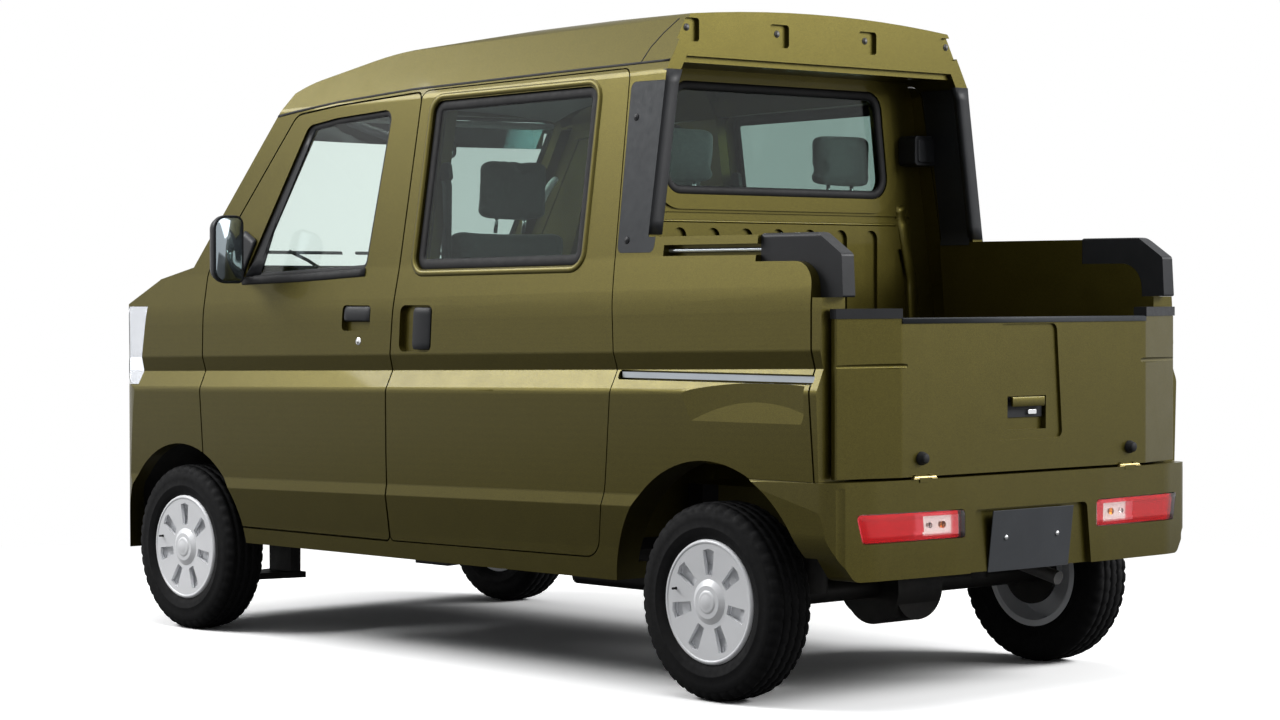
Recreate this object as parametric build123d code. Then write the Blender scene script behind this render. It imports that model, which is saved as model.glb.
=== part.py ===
from build123d import *
import math
import os

os.makedirs("parts", exist_ok=True)

# Double-cab kei pickup, in millimetres: X forward, Y left, Z up, origin on the ground under
# the middle of the length and width. The driver sits on the right.

# Overall sizes
LENGTH = 3395
HEIGHT = 1875
HALF_WIDTH = 737.5
WHEELBASE = 2450
FRONT_AXLE_X = 1261
REAR_AXLE_X = FRONT_AXLE_X - WHEELBASE
TRACK = 1305
TYRE_R = 265
TYRE_WIDTH = 145

# Walls and gaps
PANEL = 45
GLASS = 5
GLASS_DEPTH = 10
SHUT_GAP = 6
SLIDE_GAP = 4
SEAM = 0.5
FIT = 0.4

# Body heights and stations
SILL_Z = 297
DOOR_BOTTOM_Z = 350
FLOOR_Z = 400
FLOOR_SHEET = 20
BED_FLOOR_Z = 655
BED_SHEET = 30
BED_TOP_Z = 1235
BED_HALF = 632
BED_END_X = -1609
WALL_X = -735
WALL_T = 30
ROOF_END_X = -922
FRONT_ARCH_R = 335
REAR_ARCH_R = 375
WHEELHOUSE_GAP = 10
WHEELHOUSE_T = 12
WHEELHOUSE_Y = 405
BELT_Z = 1165

# Windscreen: foot and head on the centre line, and its sideways curve
SCREEN_FOOT = (1420, 1130)
SCREEN_HEAD = (930, 1715)
SCREEN_R = 2150

# Tailgate
GATE_X = -1685
GATE_T = 45
GATE_Z0 = 607
GATE_Z1 = 1016
GATE_HALF = 692
GATE_AXIS = (-1691, 604)
GATE_PIN_R = 3.6
GATE_HINGE_Y = 420

# Bumpers
BUMPER_T = 30
REAR_BUMPER_Z0 = 345
REAR_BUMPER_Z1 = 600
FRONT_BUMPER_Z0 = 245

# Front axle
KINGPIN_Y = 548
SPINDLE_R = 14
SPINDLE_CLEAR = 0.05
STRUT_R = 22
STRUT_TOP_Z = 590
RIM_R = 152
RIM_HALF = 57.5

# Half section of the body seen along X, at x = 0: half width, height, corner radius. Forward of that
# its heights fall by SECTION_FALL for each millimetre.
SECTION = [
    (700, 300, 0), (716, 372, 60), (733, 488, 12), (728, 520, 25), (HALF_WIDTH, 800, 40),
    (711, 858, 3), (723, 905, 25), (716, 1040, 500), (693, BELT_Z, 300), (616, 1672, 40),
    (522, 1839, 35), (0, 1885, 4000),
]
SECTION_FALL = 0.0195

# Roof along its crown, seen from the side: x, z, corner radius. It falls away to each side by CROWN_R.
CROWN = [(-420, HEIGHT, 3000), (370, 1842, 1500), (760, 1770, 500), (1100, 1637, 0)]
CROWN_R = 5450
CROWN_FOOT_Z = 1560

# Outline seen from the side, from the roof's rear end round the front: x, z, corner radius
SCREEN_SLOPE = (SCREEN_HEAD[1] - SCREEN_FOOT[1]) / (SCREEN_FOOT[0] - SCREEN_HEAD[0])
OVER_ROOF_Z = HEIGHT + 60
SILHOUETTE = [
    (ROOF_END_X, OVER_ROOF_Z, 0),
    (SCREEN_HEAD[0] - (OVER_ROOF_Z - SCREEN_HEAD[1]) / SCREEN_SLOPE, OVER_ROOF_Z, 0), (SCREEN_FOOT[0], SCREEN_FOOT[1], 60),
    (1604, 1042, 60), (1668, 900, 200), (1688, 640, 200),
    (LENGTH / 2, 520, 100), (LENGTH / 2, 380, 60), (1670, FRONT_BUMPER_Z0, 0),
]

# Half plan outline at the front: x, y, corner radius
PLAN = [(LENGTH / 2, 120, 1500), (1684, 380, 700), (1650, HALF_WIDTH, 170)]
PLAN_FLARE = 25

# Seam between side and roof: x, z
DRIP = [(-975, 1721), (209, 1694), (560, 1673), (783, 1651), (930, 1634), (1150, 1612)]

# Front door: x, z, corner radius
DOOR_FRONT = [
    (1153, 1150, 60), (1130, 560, 0), (1130, DOOR_BOTTOM_Z, 0), (187, DOOR_BOTTOM_Z, 15),
    (183, 600, 300), (163, 1160, 500), (150, 1680, 25), (560, 1657, 200), (768, 1637, 60),
]
DOOR_WINDOW = [
    (960, 1125, 30), (322, 1150, 35), (280, 1638, 35), (560, 1622, 200), (702, 1604, 45),
]
# Sliding door: x, z, corner radius
DOOR_SLIDE = [
    (179, DOOR_BOTTOM_Z, 15), (-745, DOOR_BOTTOM_Z + 8, 60), (-792, 560, 220), (-826, 859, 300),
    (-796, 1165, 600), (-772, 1702, 30), (144, 1684, 25), (157, 1160, 500), (177, 600, 300),
]
SLIDE_WINDOW = [(86, 1152, 40), (-655, 1160, 40), (-648, 1662, 40), (82, 1652, 40)]
# Rear window, half: y, z, corner radius
REAR_WINDOW = [(446, 1378, 45), (410, 1666, 45)]
# Windscreen, half: y, z, corner radius
SCREEN = [(612, 1172, 55), (535, 1672, 55)]


def moved_outline(rows, amount):
    """Corner rows a, b, radius of a closed outline moved out by amount, or in where it is negative.
    A rounded corner keeps its centre."""
    if amount == 0:
        return rows
    area = sum(p[0] * q[1] - q[0] * p[1] for p, q in zip(rows, rows[1:] + rows[:1]))
    turn = 1 if area > 0 else -1
    edges = []
    for p, q in zip(rows, rows[1:] + rows[:1]):
        length = math.hypot(q[0] - p[0], q[1] - p[1])
        dx, dy = (q[0] - p[0]) / length, (q[1] - p[1]) / length
        edges.append((p[0] + turn * dy * amount, p[1] - turn * dx * amount, dx, dy))
    result = []
    for (ax, ay, adx, ady), (bx, by, bdx, bdy), row in zip(edges[-1:] + edges[:-1], edges, rows):
        cross = adx * bdy - ady * bdx
        along = ((bx - ax) * bdy - (by - ay) * bdx) / cross
        swell = amount if cross * turn > 0 else -amount
        radius = max(row[2] + swell, 0) if row[2] > 0 else 0
        result.append((ax + along * adx, ay + along * ady, radius))
    return result


def flat_face(rows, grow=0):
    """Flat face in the XY plane from corner rows a, b, radius, its outline moved out by grow."""
    rows = moved_outline(rows, grow)
    line = FilletPolyline(*[row[:2] for row in rows], radius=[row[2] for row in rows], close=True)
    return make_face(line)


def face_xz(rows, grow=0):
    return Plane.XZ * flat_face(rows, grow)


def face_yz(rows, grow=0):
    return Plane.YZ * flat_face(rows, grow)


def face_xy(rows, grow=0):
    return flat_face(rows, grow)


def along_y(face, y0, y1):
    return extrude(Pos(0, y0, 0) * face, amount=y1 - y0, dir=(0, 1, 0))


def along_x(face, x0, x1):
    return extrude(Pos(x0, 0, 0) * face, amount=x1 - x0, dir=(1, 0, 0))


def along_z(face, z0, z1):
    return extrude(Pos(0, 0, z0) * face, amount=z1 - z0, dir=(0, 0, 1))


def block(x0, x1, y0, y1, z0, z1):
    """Box between two corners."""
    return Pos((x0 + x1) / 2, (y0 + y1) / 2, (z0 + z1) / 2) * Box(x1 - x0, y1 - y0, z1 - z0)


def rod(start, end, radius):
    """Round bar between two points."""
    a = Vector(*start)
    b = Vector(*end)
    return Plane(origin=(a + b) * 0.5, z_dir=b - a) * Cylinder(radius, (b - a).length)


def both_sides(rows):
    """Closed outline of a shape and its mirror image, from rows half width, height, radius."""
    return rows + [(-y, z, r) for y, z, r in reversed(rows) if y != 0]


def mirrored(shape):
    """The same shape on the right side."""
    return mirror(shape, about=Plane.XZ)


def wheel_cut(axle_x, radius, y0, y1):
    return rod((axle_x, y0, TYRE_R), (axle_x, y1, TYRE_R), radius)


screen_run = Vector(SCREEN_FOOT[0] - SCREEN_HEAD[0], 0, SCREEN_FOOT[1] - SCREEN_HEAD[1]).normalized()
screen_out = Vector(-screen_run.Z, 0, screen_run.X)
if screen_out.X < 0:
    screen_out = screen_out * -1


def body_form(inset, reach=0):
    """The closed outer form of the body, moved inward by inset. With reach its lower edge and
    its tail run on by that much, so that it can hollow another form out to the open."""
    section = [(SECTION[0][0], SILL_Z - 60 - reach, 0)] + SECTION[1:]
    tail_x = BED_END_X - reach
    side_rows = SILHOUETTE + [(1670, SILL_Z - 60 - reach, 0), (tail_x, SILL_Z - 60 - reach, 0)]
    if reach > 0:
        side_rows = [(tail_x, OVER_ROOF_Z, 0)] + side_rows[1:]
    else:
        side_rows = side_rows + [(tail_x, BED_TOP_Z, 0), (ROOF_END_X, BED_TOP_Z, 0)]
    side = along_y(face_xz(side_rows, -inset), -900, 900)
    start_x = tail_x - 100
    across = Pos(start_x, 0, -SECTION_FALL * start_x) * face_yz(both_sides(section), -inset)
    across = extrude(across, amount=1800 - start_x, dir=(1, 0, -SECTION_FALL))
    top_rows = PLAN + [(tail_x - 200, HALF_WIDTH + PLAN_FLARE, 0)]
    plan_rows = top_rows + [(x, -y, r) for x, y, r in reversed(top_rows)]
    top = along_z(face_xy(plan_rows, -inset), -900, 2100)
    form = side & across & top
    drum_centre = Vector(SCREEN_FOOT[0], 0, SCREEN_FOOT[1]) - screen_out * SCREEN_R
    drum = Plane(origin=drum_centre, z_dir=screen_run) * Cylinder(SCREEN_R - inset, 5000)
    cowl_rows = [
        (600, 1300 - inset, 0), (1250, 1165 - inset, 0), (1420, 1130 - inset, 0),
        (1900, 1030 - inset, 0), (1900, 2200, 0), (600, 2200, 0),
    ]
    corner = along_y(face_xz(cowl_rows), -900, 900) - drum
    dome_rows = [(tail_x - 60, CROWN_FOOT_Z - 160, 0), (tail_x - 60, HEIGHT, 0)] + CROWN
    dome_rows = dome_rows + [(CROWN[-1][0], CROWN_FOOT_Z - 160, 0)]
    dome = revolve(face_xz(dome_rows, -inset), axis=Axis((0, 0, HEIGHT - CROWN_R), (1, 0, 0)))
    over = block(tail_x - 200, CROWN[-1][0] + 200, -900, 900, CROWN_FOOT_Z, 2300) - dome
    return form - corner - over


print("forms")
outer = body_form(0)
inner = body_form(PANEL, reach=600)
cabin = body_form(PANEL + SEAM, reach=500)
shell = outer - inner


glass_layer = body_form(GLASS_DEPTH, reach=400) - body_form(GLASS_DEPTH + GLASS, reach=450)
parts = {}

print("openings")
arch_front = wheel_cut(FRONT_AXLE_X, FRONT_ARCH_R, 300, 900)
arch_rear = wheel_cut(REAR_AXLE_X, REAR_ARCH_R, 560, 900)

# Seam between front bumper and wing: x, z
BUMPER_SEAM = [(1340, 552), (1480, 566), (1800, 712)]
# Headlamp seen from the front, left one: y, z, radius
LAMP_FRONT = [(400, 800, 25), (452, 962, 25), (800, 1068, 0), (800, 782, 0)]
# Its rear edge seen from the side: x, z, radius
LAMP_SIDE = [(1505, 770, 0), (1470, 1100, 0), (1800, 1100, 0), (1800, 770, 0)]
lamp_prism = along_x(face_yz(LAMP_FRONT), 1300, 1800) & along_y(face_xz(LAMP_SIDE), 300, 900)
BONNET_HALF = 488
NOSE_HALF = BONNET_HALF + SHUT_GAP

screen_hole = along_x(face_yz(both_sides(SCREEN)), 600, 1800)
screen_reach = along_y(face_xz([(700, 1150, 0), (1800, 1150, 0), (1800, 1800, 0), (700, 1800, 0)]), -900, 900)
screen_hole = screen_hole & screen_reach

roof_region = along_y(face_xz([(x, z, 0) for x, z in DRIP] + [(1150, 2000, 0), (-975, 2000, 0)]), -900, 900)
below_seam = [(x, z, 0) for x, z in BUMPER_SEAM] + [(1800, 200, 0), (1340, 200, 0)]
bumper_region = along_y(face_xz(below_seam), -900, 900)

door_hole = along_y(face_xz(DOOR_FRONT, SHUT_GAP), 400, 900)
slide_hole = along_y(face_xz(DOOR_SLIDE, SLIDE_GAP), 400, 900)
window_hole = along_y(face_xz(DOOR_WINDOW), 400, 900)
slide_window_hole = along_y(face_xz(SLIDE_WINDOW), 400, 900)

# Corner guard of the load bed: where it starts, and the heights of its seat on the outer panel and its foot
GUARD_X = -1349
GUARD_SEAT_Z = 1165
GUARD_FOOT_Z = 1071
# Rear edge of the outer panel from the guard's seat down to the bumper, and the post behind it: x, z, radius
PANEL_END = [(-1562, GUARD_SEAT_Z, 70), (-1567, GUARD_FOOT_Z, 0)]
POST_GROOVE = 6
POST_GROOVE_FOOT_X = -1590

# Side panel: x, z, radius, from the roof seam round the load bed and back along the sill
side_rows = [
    (-941, 1720, 0), (-938, 1640, 60), (-957, BED_TOP_Z + 40, 50), (-985, BED_TOP_Z, 20),
    (GUARD_X + SEAM, BED_TOP_Z, 0), (GUARD_X + SEAM, GUARD_SEAT_Z, 0), PANEL_END[0], PANEL_END[1],
    (BED_END_X, GUARD_FOOT_Z, 0),
    (BED_END_X, REAR_BUMPER_Z1 + SEAM, 0), (-1300, REAR_BUMPER_Z1 + SEAM, 0), (-1300, SILL_Z, 0),
    (1800, SILL_Z, 0), (1800, 2000, 0), (-941, 2000, 0),
]
side_region = along_y(face_xz(side_rows), 300, 900)

print("body sides")
bed_wall = outer & block(BED_END_X, WALL_X - SEAM, BED_HALF, 800, SILL_Z - 60, BED_TOP_Z)
side = ((shell + bed_wall) & side_region) - roof_region - bumper_region
side = side - block(1000, 1900, -10, NOSE_HALF, 600, 1170)
side = side - lamp_prism - screen_hole - arch_front - arch_rear
side = side - door_hole - slide_hole
sill = (outer & block(REAR_AXLE_X + 100, 1200, 600, 800, SILL_Z, DOOR_BOTTOM_Z - SHUT_GAP))
sill_in = body_form(PANEL + SHUT_GAP, reach=300) & block(-760, 1000, 600, 800, SILL_Z, FLOOR_Z - SEAM)
post_rows = [(108, SILL_Z, 0), (228, SILL_Z, 0), (200, 1160, 0), (180, 1730, 0), (80, 1730, 0), (84, 1160, 0)]
post = (body_form(PANEL + SHUT_GAP, reach=300) - body_form(PANEL + SHUT_GAP + 38, reach=350))
post = post & along_y(face_xz(post_rows), 300, 900)
HEAD_X = WALL_X + WALL_T + SEAM
head_rows = [(HEAD_X, 1709, 0)] + [(x, z - 3, 0) for x, z in DRIP[1:4]]
head_rows = head_rows + [(783, 1600, 0), (560, 1622, 0), (209, 1643, 0), (HEAD_X, 1664, 0)]
head = (body_form(PANEL + SHUT_GAP, reach=300) - body_form(PANEL + SHUT_GAP + 30, reach=350))
head = head & along_y(face_xz(head_rows), 300, 900)
cap_rows = [(x, z - SEAM, 0) for x, z in DRIP[1:5]] + [(x, z - 9, 0) for x, z in reversed(DRIP[1:5])]
cap_rows = [(HEAD_X, 1713.5, 0)] + cap_rows + [(HEAD_X, 1706, 0)]
head_cap = (outer - body_form(PANEL + SHUT_GAP + 30, reach=350)) & along_y(face_xz(cap_rows), 300, 900)
house_hole = wheel_cut(FRONT_AXLE_X, FRONT_ARCH_R + WHEELHOUSE_GAP + WHEELHOUSE_T + SEAM, 300, 900)
side = side + (sill - arch_front - arch_rear) + (sill_in - house_hole - arch_rear)
side = side + post + head + (head_cap - door_hole - slide_hole - screen_hole)

# Hinge plates behind the front door's leading edge, buffers behind its trailing edge and the sliding door
HINGE_Z = (700, 1010)
hinge_layer = body_form(PANEL + FIT, reach=300) - body_form(PANEL + 14, reach=350)
hinge_root = body_form(PANEL - 5, reach=300) - body_form(PANEL + 14, reach=350)
for z in HINGE_Z:
    side = side + (hinge_layer & block(1122, 1176, 300, 900, z - 25, z + 25))
    side = side + (hinge_root & block(1160, 1176, 300, 900, z - 25, z + 25))
    side = side + (hinge_layer & block(192, 206, 300, 900, z - 10, z + 10))
    side = side + (hinge_layer & block(100, 140, 300, 900, z - 10, z + 10))
side_left = side

# Groove for the sliding door's rail, slot under the bed's top rail, and the pillar trim's seat
RAIL_Z = 861
RAIL_H = 26
RAIL_X = (-838, -1588)
rail_slot = block(RAIL_X[1], RAIL_X[0], 690, 800, RAIL_Z - RAIL_H / 2, RAIL_Z + RAIL_H / 2)
rail_slot = fillet(rail_slot.edges().filter_by(Axis.Y), 10)
BED_SLOT = (-990, GUARD_X - 1, 1182, 1212)
bed_slot = block(BED_SLOT[1], BED_SLOT[0], BED_HALF + 22, 800, BED_SLOT[2], BED_SLOT[3])
TRIM_ROWS = [(-803, 1192, 20), (-785, 1664, 20), (-934, 1664, 20), (-953, 1240, 20), (-950, 1192, 20)]
TRIM_T = 3
trim_seat = (body_form(-2, reach=300) - body_form(TRIM_T, reach=350)) & along_y(face_xz(TRIM_ROWS), 300, 900)
side_left = side_left - rail_slot - bed_slot - trim_seat
post_groove = along_y(face_xz([
    (PANEL_END[1][0], GUARD_FOOT_Z + 1, 0), (POST_GROOVE_FOOT_X, REAR_BUMPER_Z1, 0),
    (POST_GROOVE_FOOT_X - POST_GROOVE, REAR_BUMPER_Z1, 0), (PANEL_END[1][0] - POST_GROOVE, GUARD_FOOT_Z + 1, 0),
]), 600, 900) - body_form(POST_GROOVE, reach=300)
side_left = side_left - post_groove

# Pressing over the rear wheel: above a sharp edge the panel leans in to a shallow hollow that fades forward
BULGE_EDGE_Z = 742
BULGE_ROWS = [(-1562, BULGE_EDGE_Z - 10, 45), (-1562, RAIL_Z, 0), (-1050, RAIL_Z, 0), (-1050, BULGE_EDGE_Z - 10, 0)]
BULGE_LEAN = 8
BULGE_DEPTH = 8
BULGE_R = 4000
bulge_edge_y = HALF_WIDTH - 2.2
lean = Pos(-1300, bulge_edge_y, BULGE_EDGE_Z) * Rot(BULGE_LEAN, 0, 0) * Pos(0, 100, 0) * Box(900, 200, 500)
hollow = Pos(-1390, bulge_edge_y - BULGE_DEPTH + BULGE_R, BULGE_EDGE_Z) * Cylinder(BULGE_R, 500)
side_left = side_left - (along_y(face_xz(BULGE_ROWS), 600, 900) & lean & hollow)
parts["body_side_left"] = side_left
parts["body_side_right"] = mirrored(side_left)

rail = block(RAIL_X[1] + 6, RAIL_X[0] - 6, 690 + SEAM, 709, RAIL_Z - 8, RAIL_Z + 8)
parts["slide_rails"] = rail + mirrored(rail)
bed_rod = rod((GUARD_X + SEAM, BED_HALF + 34, 1197), (BED_SLOT[0], BED_HALF + 34, 1197), 6)
parts["bed_rods"] = bed_rod + mirrored(bed_rod)
trim = (outer - body_form(TRIM_T - SEAM, reach=350)) & along_y(face_xz(TRIM_ROWS, -SEAM), 300, 900)
parts["pillar_trims"] = trim + mirrored(trim)

print("roof")
roof = (shell & roof_region) - screen_hole
fascia = outer & block(ROOF_END_X - 5, ROOF_END_X + 40, -700, 700, 1733, 1900)
roof = roof + fascia
# Pockets in the rear face, one for each bolt of the roof's end
POCKET_Y = (-530, -180, 180, 530)
POCKET_Z = (1773, 1838)
POCKET_HALF = 37
for y in POCKET_Y:
    pocket = block(ROOF_END_X - 9, ROOF_END_X + 12, y - POCKET_HALF, y + POCKET_HALF, POCKET_Z[0], POCKET_Z[1])
    roof = roof - fillet(pocket.edges().filter_by(Axis.X), 10)
parts["roof"] = roof

print("nose")
BONNET_X = 1462
BONNET_ROWS = [(BONNET_X, BONNET_HALF, 0), (1800, BONNET_HALF, 0), (1800, -BONNET_HALF, 0), (BONNET_X, -BONNET_HALF, 0)]
BONNET_LIP_Z = 930
bonnet_hole = along_z(face_xy(BONNET_ROWS, SHUT_GAP), BONNET_LIP_Z - SHUT_GAP, 1300)
bonnet = shell & along_z(face_xy(BONNET_ROWS), BONNET_LIP_Z, 1300)
parts["bonnet"] = bonnet
nose = shell & block(1250, 1900, -NOSE_HALF + SEAM, NOSE_HALF - SEAM, 400, 1170)
nose = nose - bumper_region - bonnet_hole - lamp_prism - mirrored(lamp_prism) - screen_hole
nose = nose - block(1200, 1800, -800, 800, 0, 712)
for s in (-1, 1):
    nose = nose + rod((1632, s * 300, BONNET_LIP_Z - 16), (1632, s * 300, BONNET_LIP_Z - FIT), 7)
parts["nose_panel"] = nose & block(BONNET_X, 1900, -900, 900, 0, 2000)
parts["cowl"] = nose & block(1000, BONNET_X - SHUT_GAP, -900, 900, 0, 2000)

lens = ((outer - body_form(4, reach=350)) & lamp_prism) - bonnet_hole
lamp = ((body_form(4 + SEAM, reach=300) - inner) & lamp_prism) - bonnet_hole
bowl = rod((1540, 590, 890), (1740, 590, 890), 62)
lamp = lamp - bowl
parts["headlamps"] = lamp + mirrored(lamp)
parts["headlamp_lenses"] = lens + mirrored(lens)

bumper = (shell & bumper_region & block(1300, 1900, -900, 900, FRONT_BUMPER_Z0, 800)) - arch_front
bumper = bumper - mirrored(arch_front)
bumper_top = shell & block(1400, 1900, -NOSE_HALF, NOSE_HALF, 560, 712 - SEAM)
bumper = bumper + bumper_top
GRILLE = [(430, 352, 25), (452, 470, 25), (-452, 470, 25), (-430, 352, 25)]
grille_hole = along_x(face_yz(GRILLE), 1400, 1800)
bumper = bumper - grille_hole
parts["front_bumper"] = bumper
slats = [
    (body_form(14, reach=300) - body_form(34, reach=350)) & grille_hole & block(1400, 1800, -460, 460, z, z + 9)
    for z in (368, 394, 420, 446)
]
bars = [
    (body_form(18, reach=300) - body_form(30, reach=350)) & grille_hole & block(1400, 1800, y - 5, y + 5, 300, 500)
    for y in (-300, -100, 100, 300)
]
frame = (body_form(12, reach=300) - body_form(36, reach=350)) & along_x(
    face_yz(GRILLE, -SEAM) - face_yz(GRILLE, -12), 1400, 1800)
grille = frame
for piece in slats + bars:
    grille = grille + (piece & along_x(face_yz(GRILLE, -SEAM), 1400, 1800))
parts["grille"] = grille

print("glass")
parts["windscreen"] = glass_layer & along_x(face_yz(both_sides(SCREEN), -SEAM), 600, 1800) & screen_reach

print("doors")
# Recesses behind the door handles: x, z, radius
HANDLE_DEPTH = 18
HANDLE_FRONT = [(412, 970, 14), (412, 1047, 14), (273, 1047, 14), (273, 970, 14)]
HANDLE_SLIDE = [(128, 911, 22), (128, 1048, 22), (-23, 1048, 22), (-23, 911, 22)]
recess_floor = body_form(HANDLE_DEPTH, reach=300)
door = (shell & along_y(face_xz(DOOR_FRONT), 400, 900)) - window_hole - arch_front
door = door - (along_y(face_xz(HANDLE_FRONT), 600, 900) - recess_floor)
parts["front_door_left"] = door
parts["front_door_right"] = mirrored(door)
door_glass = glass_layer & along_y(face_xz(DOOR_WINDOW, -SEAM), 400, 900)
parts["door_glass_left"] = door_glass
parts["door_glass_right"] = mirrored(door_glass)
slide_door = (shell & along_y(face_xz(DOOR_SLIDE), 400, 900)) - slide_window_hole - rail_slot
slide_door = slide_door - (along_y(face_xz(HANDLE_SLIDE), 600, 900) - recess_floor)
parts["sliding_door_left"] = slide_door
parts["sliding_door_right"] = mirrored(slide_door)
slide_glass = glass_layer & along_y(face_xz(SLIDE_WINDOW, -SEAM), 400, 900)
parts["sliding_glass"] = slide_glass + mirrored(slide_glass)

# Door mirror: housing on a short arm from the quarter base
MIRROR = (820, 912, 752, 882, 1112, 1322)
housing = fillet(block(*MIRROR).edges().filter_by(Axis.X), 30)
housing = chamfer(housing.faces().sort_by(Axis.X)[-1].edges(), 18)
arm = rod((900, 760, 1160), (985, 700.5, 1150), 14)
base = (body_form(-6, reach=300) - body_form(-SEAM, reach=350)) & along_y(
    face_xz([(1098, 1128, 10), (968, 1120, 10), (905, 1250, 10), (972, 1282, 10)]), 300, 900)
parts["mirror_left"] = (housing + arm + base) - body_form(-SEAM, reach=340)
parts["mirror_right"] = mirrored(parts["mirror_left"])

print("rear wall")
wall_section = cabin & block(WALL_X, WALL_X + WALL_T, -700, 700, FLOOR_Z, 1860)
wall = wall_section - along_x(face_yz(both_sides(REAR_WINDOW)), WALL_X - 50, WALL_X + 80)
RIB_PITCH = 131
RIB_HALF = 27
RIB_DEPTH = 10
for k in range(-4, 5):
    top = 1268 if abs(k) < 4 else 1215
    slot = block(WALL_X - 1, WALL_X + RIB_DEPTH, k * RIB_PITCH - RIB_HALF, k * RIB_PITCH + RIB_HALF, 700, top)
    slot = fillet(slot.edges().filter_by(Axis.X).group_by(Axis.Z)[-1], RIB_HALF - 1)
    wall = wall - slot
wall = wall - block(WALL_X - 1, WALL_X + 6, -560, 560, 1304, 1312)
wall = wall + rod((WALL_X + 1, -500, 1286), (WALL_X + 1, 500, 1286), 4)
# Raised frame round the window
FRAME_RISE = 7
frame_face = face_yz(both_sides(REAR_WINDOW), 58) - face_yz(both_sides(REAR_WINDOW), 16)
wall = wall + along_x(frame_face, WALL_X - FRAME_RISE, WALL_X + 1)
shelf = cabin & block(ROOF_END_X + 15, WALL_X + 5, -700, 700, 1716, 1732)
wall = wall + (shelf - block(ROOF_END_X, ROOF_END_X + 41, -700, 700, 1732, 1800))
parts["rear_wall"] = wall
parts["rear_window"] = along_x(face_yz(both_sides(REAR_WINDOW), -SEAM), WALL_X + 8, WALL_X + 8 + GLASS)

print("load bed")
bed_x1 = WALL_X - SEAM
bed_x0 = GATE_X + GATE_T + SHUT_GAP
bed = block(bed_x0, bed_x1, -BED_HALF + SEAM, BED_HALF - SEAM, BED_FLOOR_Z - BED_SHEET, BED_FLOOR_Z)
GROOVES = 9
groove_pitch = 2 * BED_HALF / (GROOVES + 1)
for k in range(GROOVES):
    y = -BED_HALF + groove_pitch * (k + 1)
    bed = bed - block(bed_x0 + 60, bed_x1 - 40, y - 30, y + 30, BED_FLOOR_Z - 6, BED_FLOOR_Z + 1)
RAIL_Y = (300, 360)
for s in (-1, 1):
    y0, y1 = sorted((s * RAIL_Y[0], s * RAIL_Y[1]))
    bed = bed + block(-1575, bed_x1, y0, y1, BED_FLOOR_Z - BED_SHEET - 80, BED_FLOOR_Z - BED_SHEET)
for x in (-1540, -1330, -1000):
    bed = bed + block(x - 25, x + 25, -540, 540, BED_FLOOR_Z - BED_SHEET - 50, BED_FLOOR_Z - BED_SHEET)
parts["bed_floor"] = bed

print("corner guards")
GUARD_ROWS = [
    (GUARD_X, GUARD_SEAT_Z - 60, 0), (GUARD_X, BED_TOP_Z + 4, 4), (-1552, BED_TOP_Z + 4, 25),
    (-1640, 1182, 12), (-1646, GUARD_FOOT_Z + SEAM, 5), (-1500, GUARD_FOOT_Z + SEAM, 0),
]
GUARD_SECTION = [
    (BED_HALF + 0.5, GUARD_FOOT_Z, 0), (678, GUARD_FOOT_Z, 0), (676, BED_TOP_Z + 4, 12), (BED_HALF + 0.5, BED_TOP_Z + 4, 5),
]
panel_corner = [(-1300, GUARD_SEAT_Z, 0)] + PANEL_END + [
    (BED_END_X, GUARD_FOOT_Z, 0), (BED_END_X, REAR_BUMPER_Z1, 0), (-1300, REAR_BUMPER_Z1, 0)]
guard = along_x(face_yz(GUARD_SECTION), -1700, -1300) & along_y(face_xz(GUARD_ROWS), 600, 700)
guard = guard - along_y(face_xz(panel_corner, SEAM), 600, 700)
parts["corner_guards"] = guard + mirrored(guard)

print("tailgate")
GATE_PLAN = [(GATE_X, 500, 30), (-1634, GATE_HALF, 6), (-1618, GATE_HALF, 0), (GATE_X + GATE_T, 645, 0)]
gate_rows = GATE_PLAN + [(x, -y, r) for x, y, r in reversed(GATE_PLAN)]
gate = along_z(face_xy(gate_rows), GATE_Z0, GATE_Z1)
GATE_PANEL = [(116, 1000, 20), (140, 690, 20), (-140, 690, 20), (-116, 1000, 20)]
gate = gate - along_x(face_yz(GATE_PANEL), GATE_X - 5, GATE_X + 7)
gate = gate - block(GATE_X - 5, GATE_X + 22, -79, 79, 716, 806)
# Crease across each end, fading out towards the middle
CREASE_Z = 894
for s in (-1, 1):
    gate = gate - rod((-1638, s * (GATE_HALF + 8), CREASE_Z), (GATE_X - 5.5, s * 480, CREASE_Z), 7)
ax, az = GATE_AXIS
hinge_barrels = None
for s in (-1, 1):
    for y in (s * GATE_HINGE_Y - 28, s * GATE_HINGE_Y + 28):
        lug = rod((ax, y - 7, az), (ax, y + 7, az), GATE_PIN_R) + block(ax, GATE_X + 8, y - 7, y + 7, az - 2, az + 8)
        gate = gate + lug
    barrel = rod((ax, s * GATE_HINGE_Y - 20.5, az), (ax, s * GATE_HINGE_Y + 20.5, az), GATE_PIN_R)
    foot = block(ax - 3, ax + 3, s * GATE_HINGE_Y - 20.5, s * GATE_HINGE_Y + 20.5, REAR_BUMPER_Z1 - 8, az)
    hinge_barrels = barrel + foot if hinge_barrels is None else hinge_barrels + barrel + foot
parts["tailgate"] = gate
cap_body = along_z(face_xy([(-1688, 500, 0), (-1636, 696, 4), (-1614, 696, 4), (GATE_X + GATE_T - 3, 500, 0)]),
                   GATE_Z1 + SEAM, 1042)
parts["gate_caps"] = cap_body + mirrored(cap_body)

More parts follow.
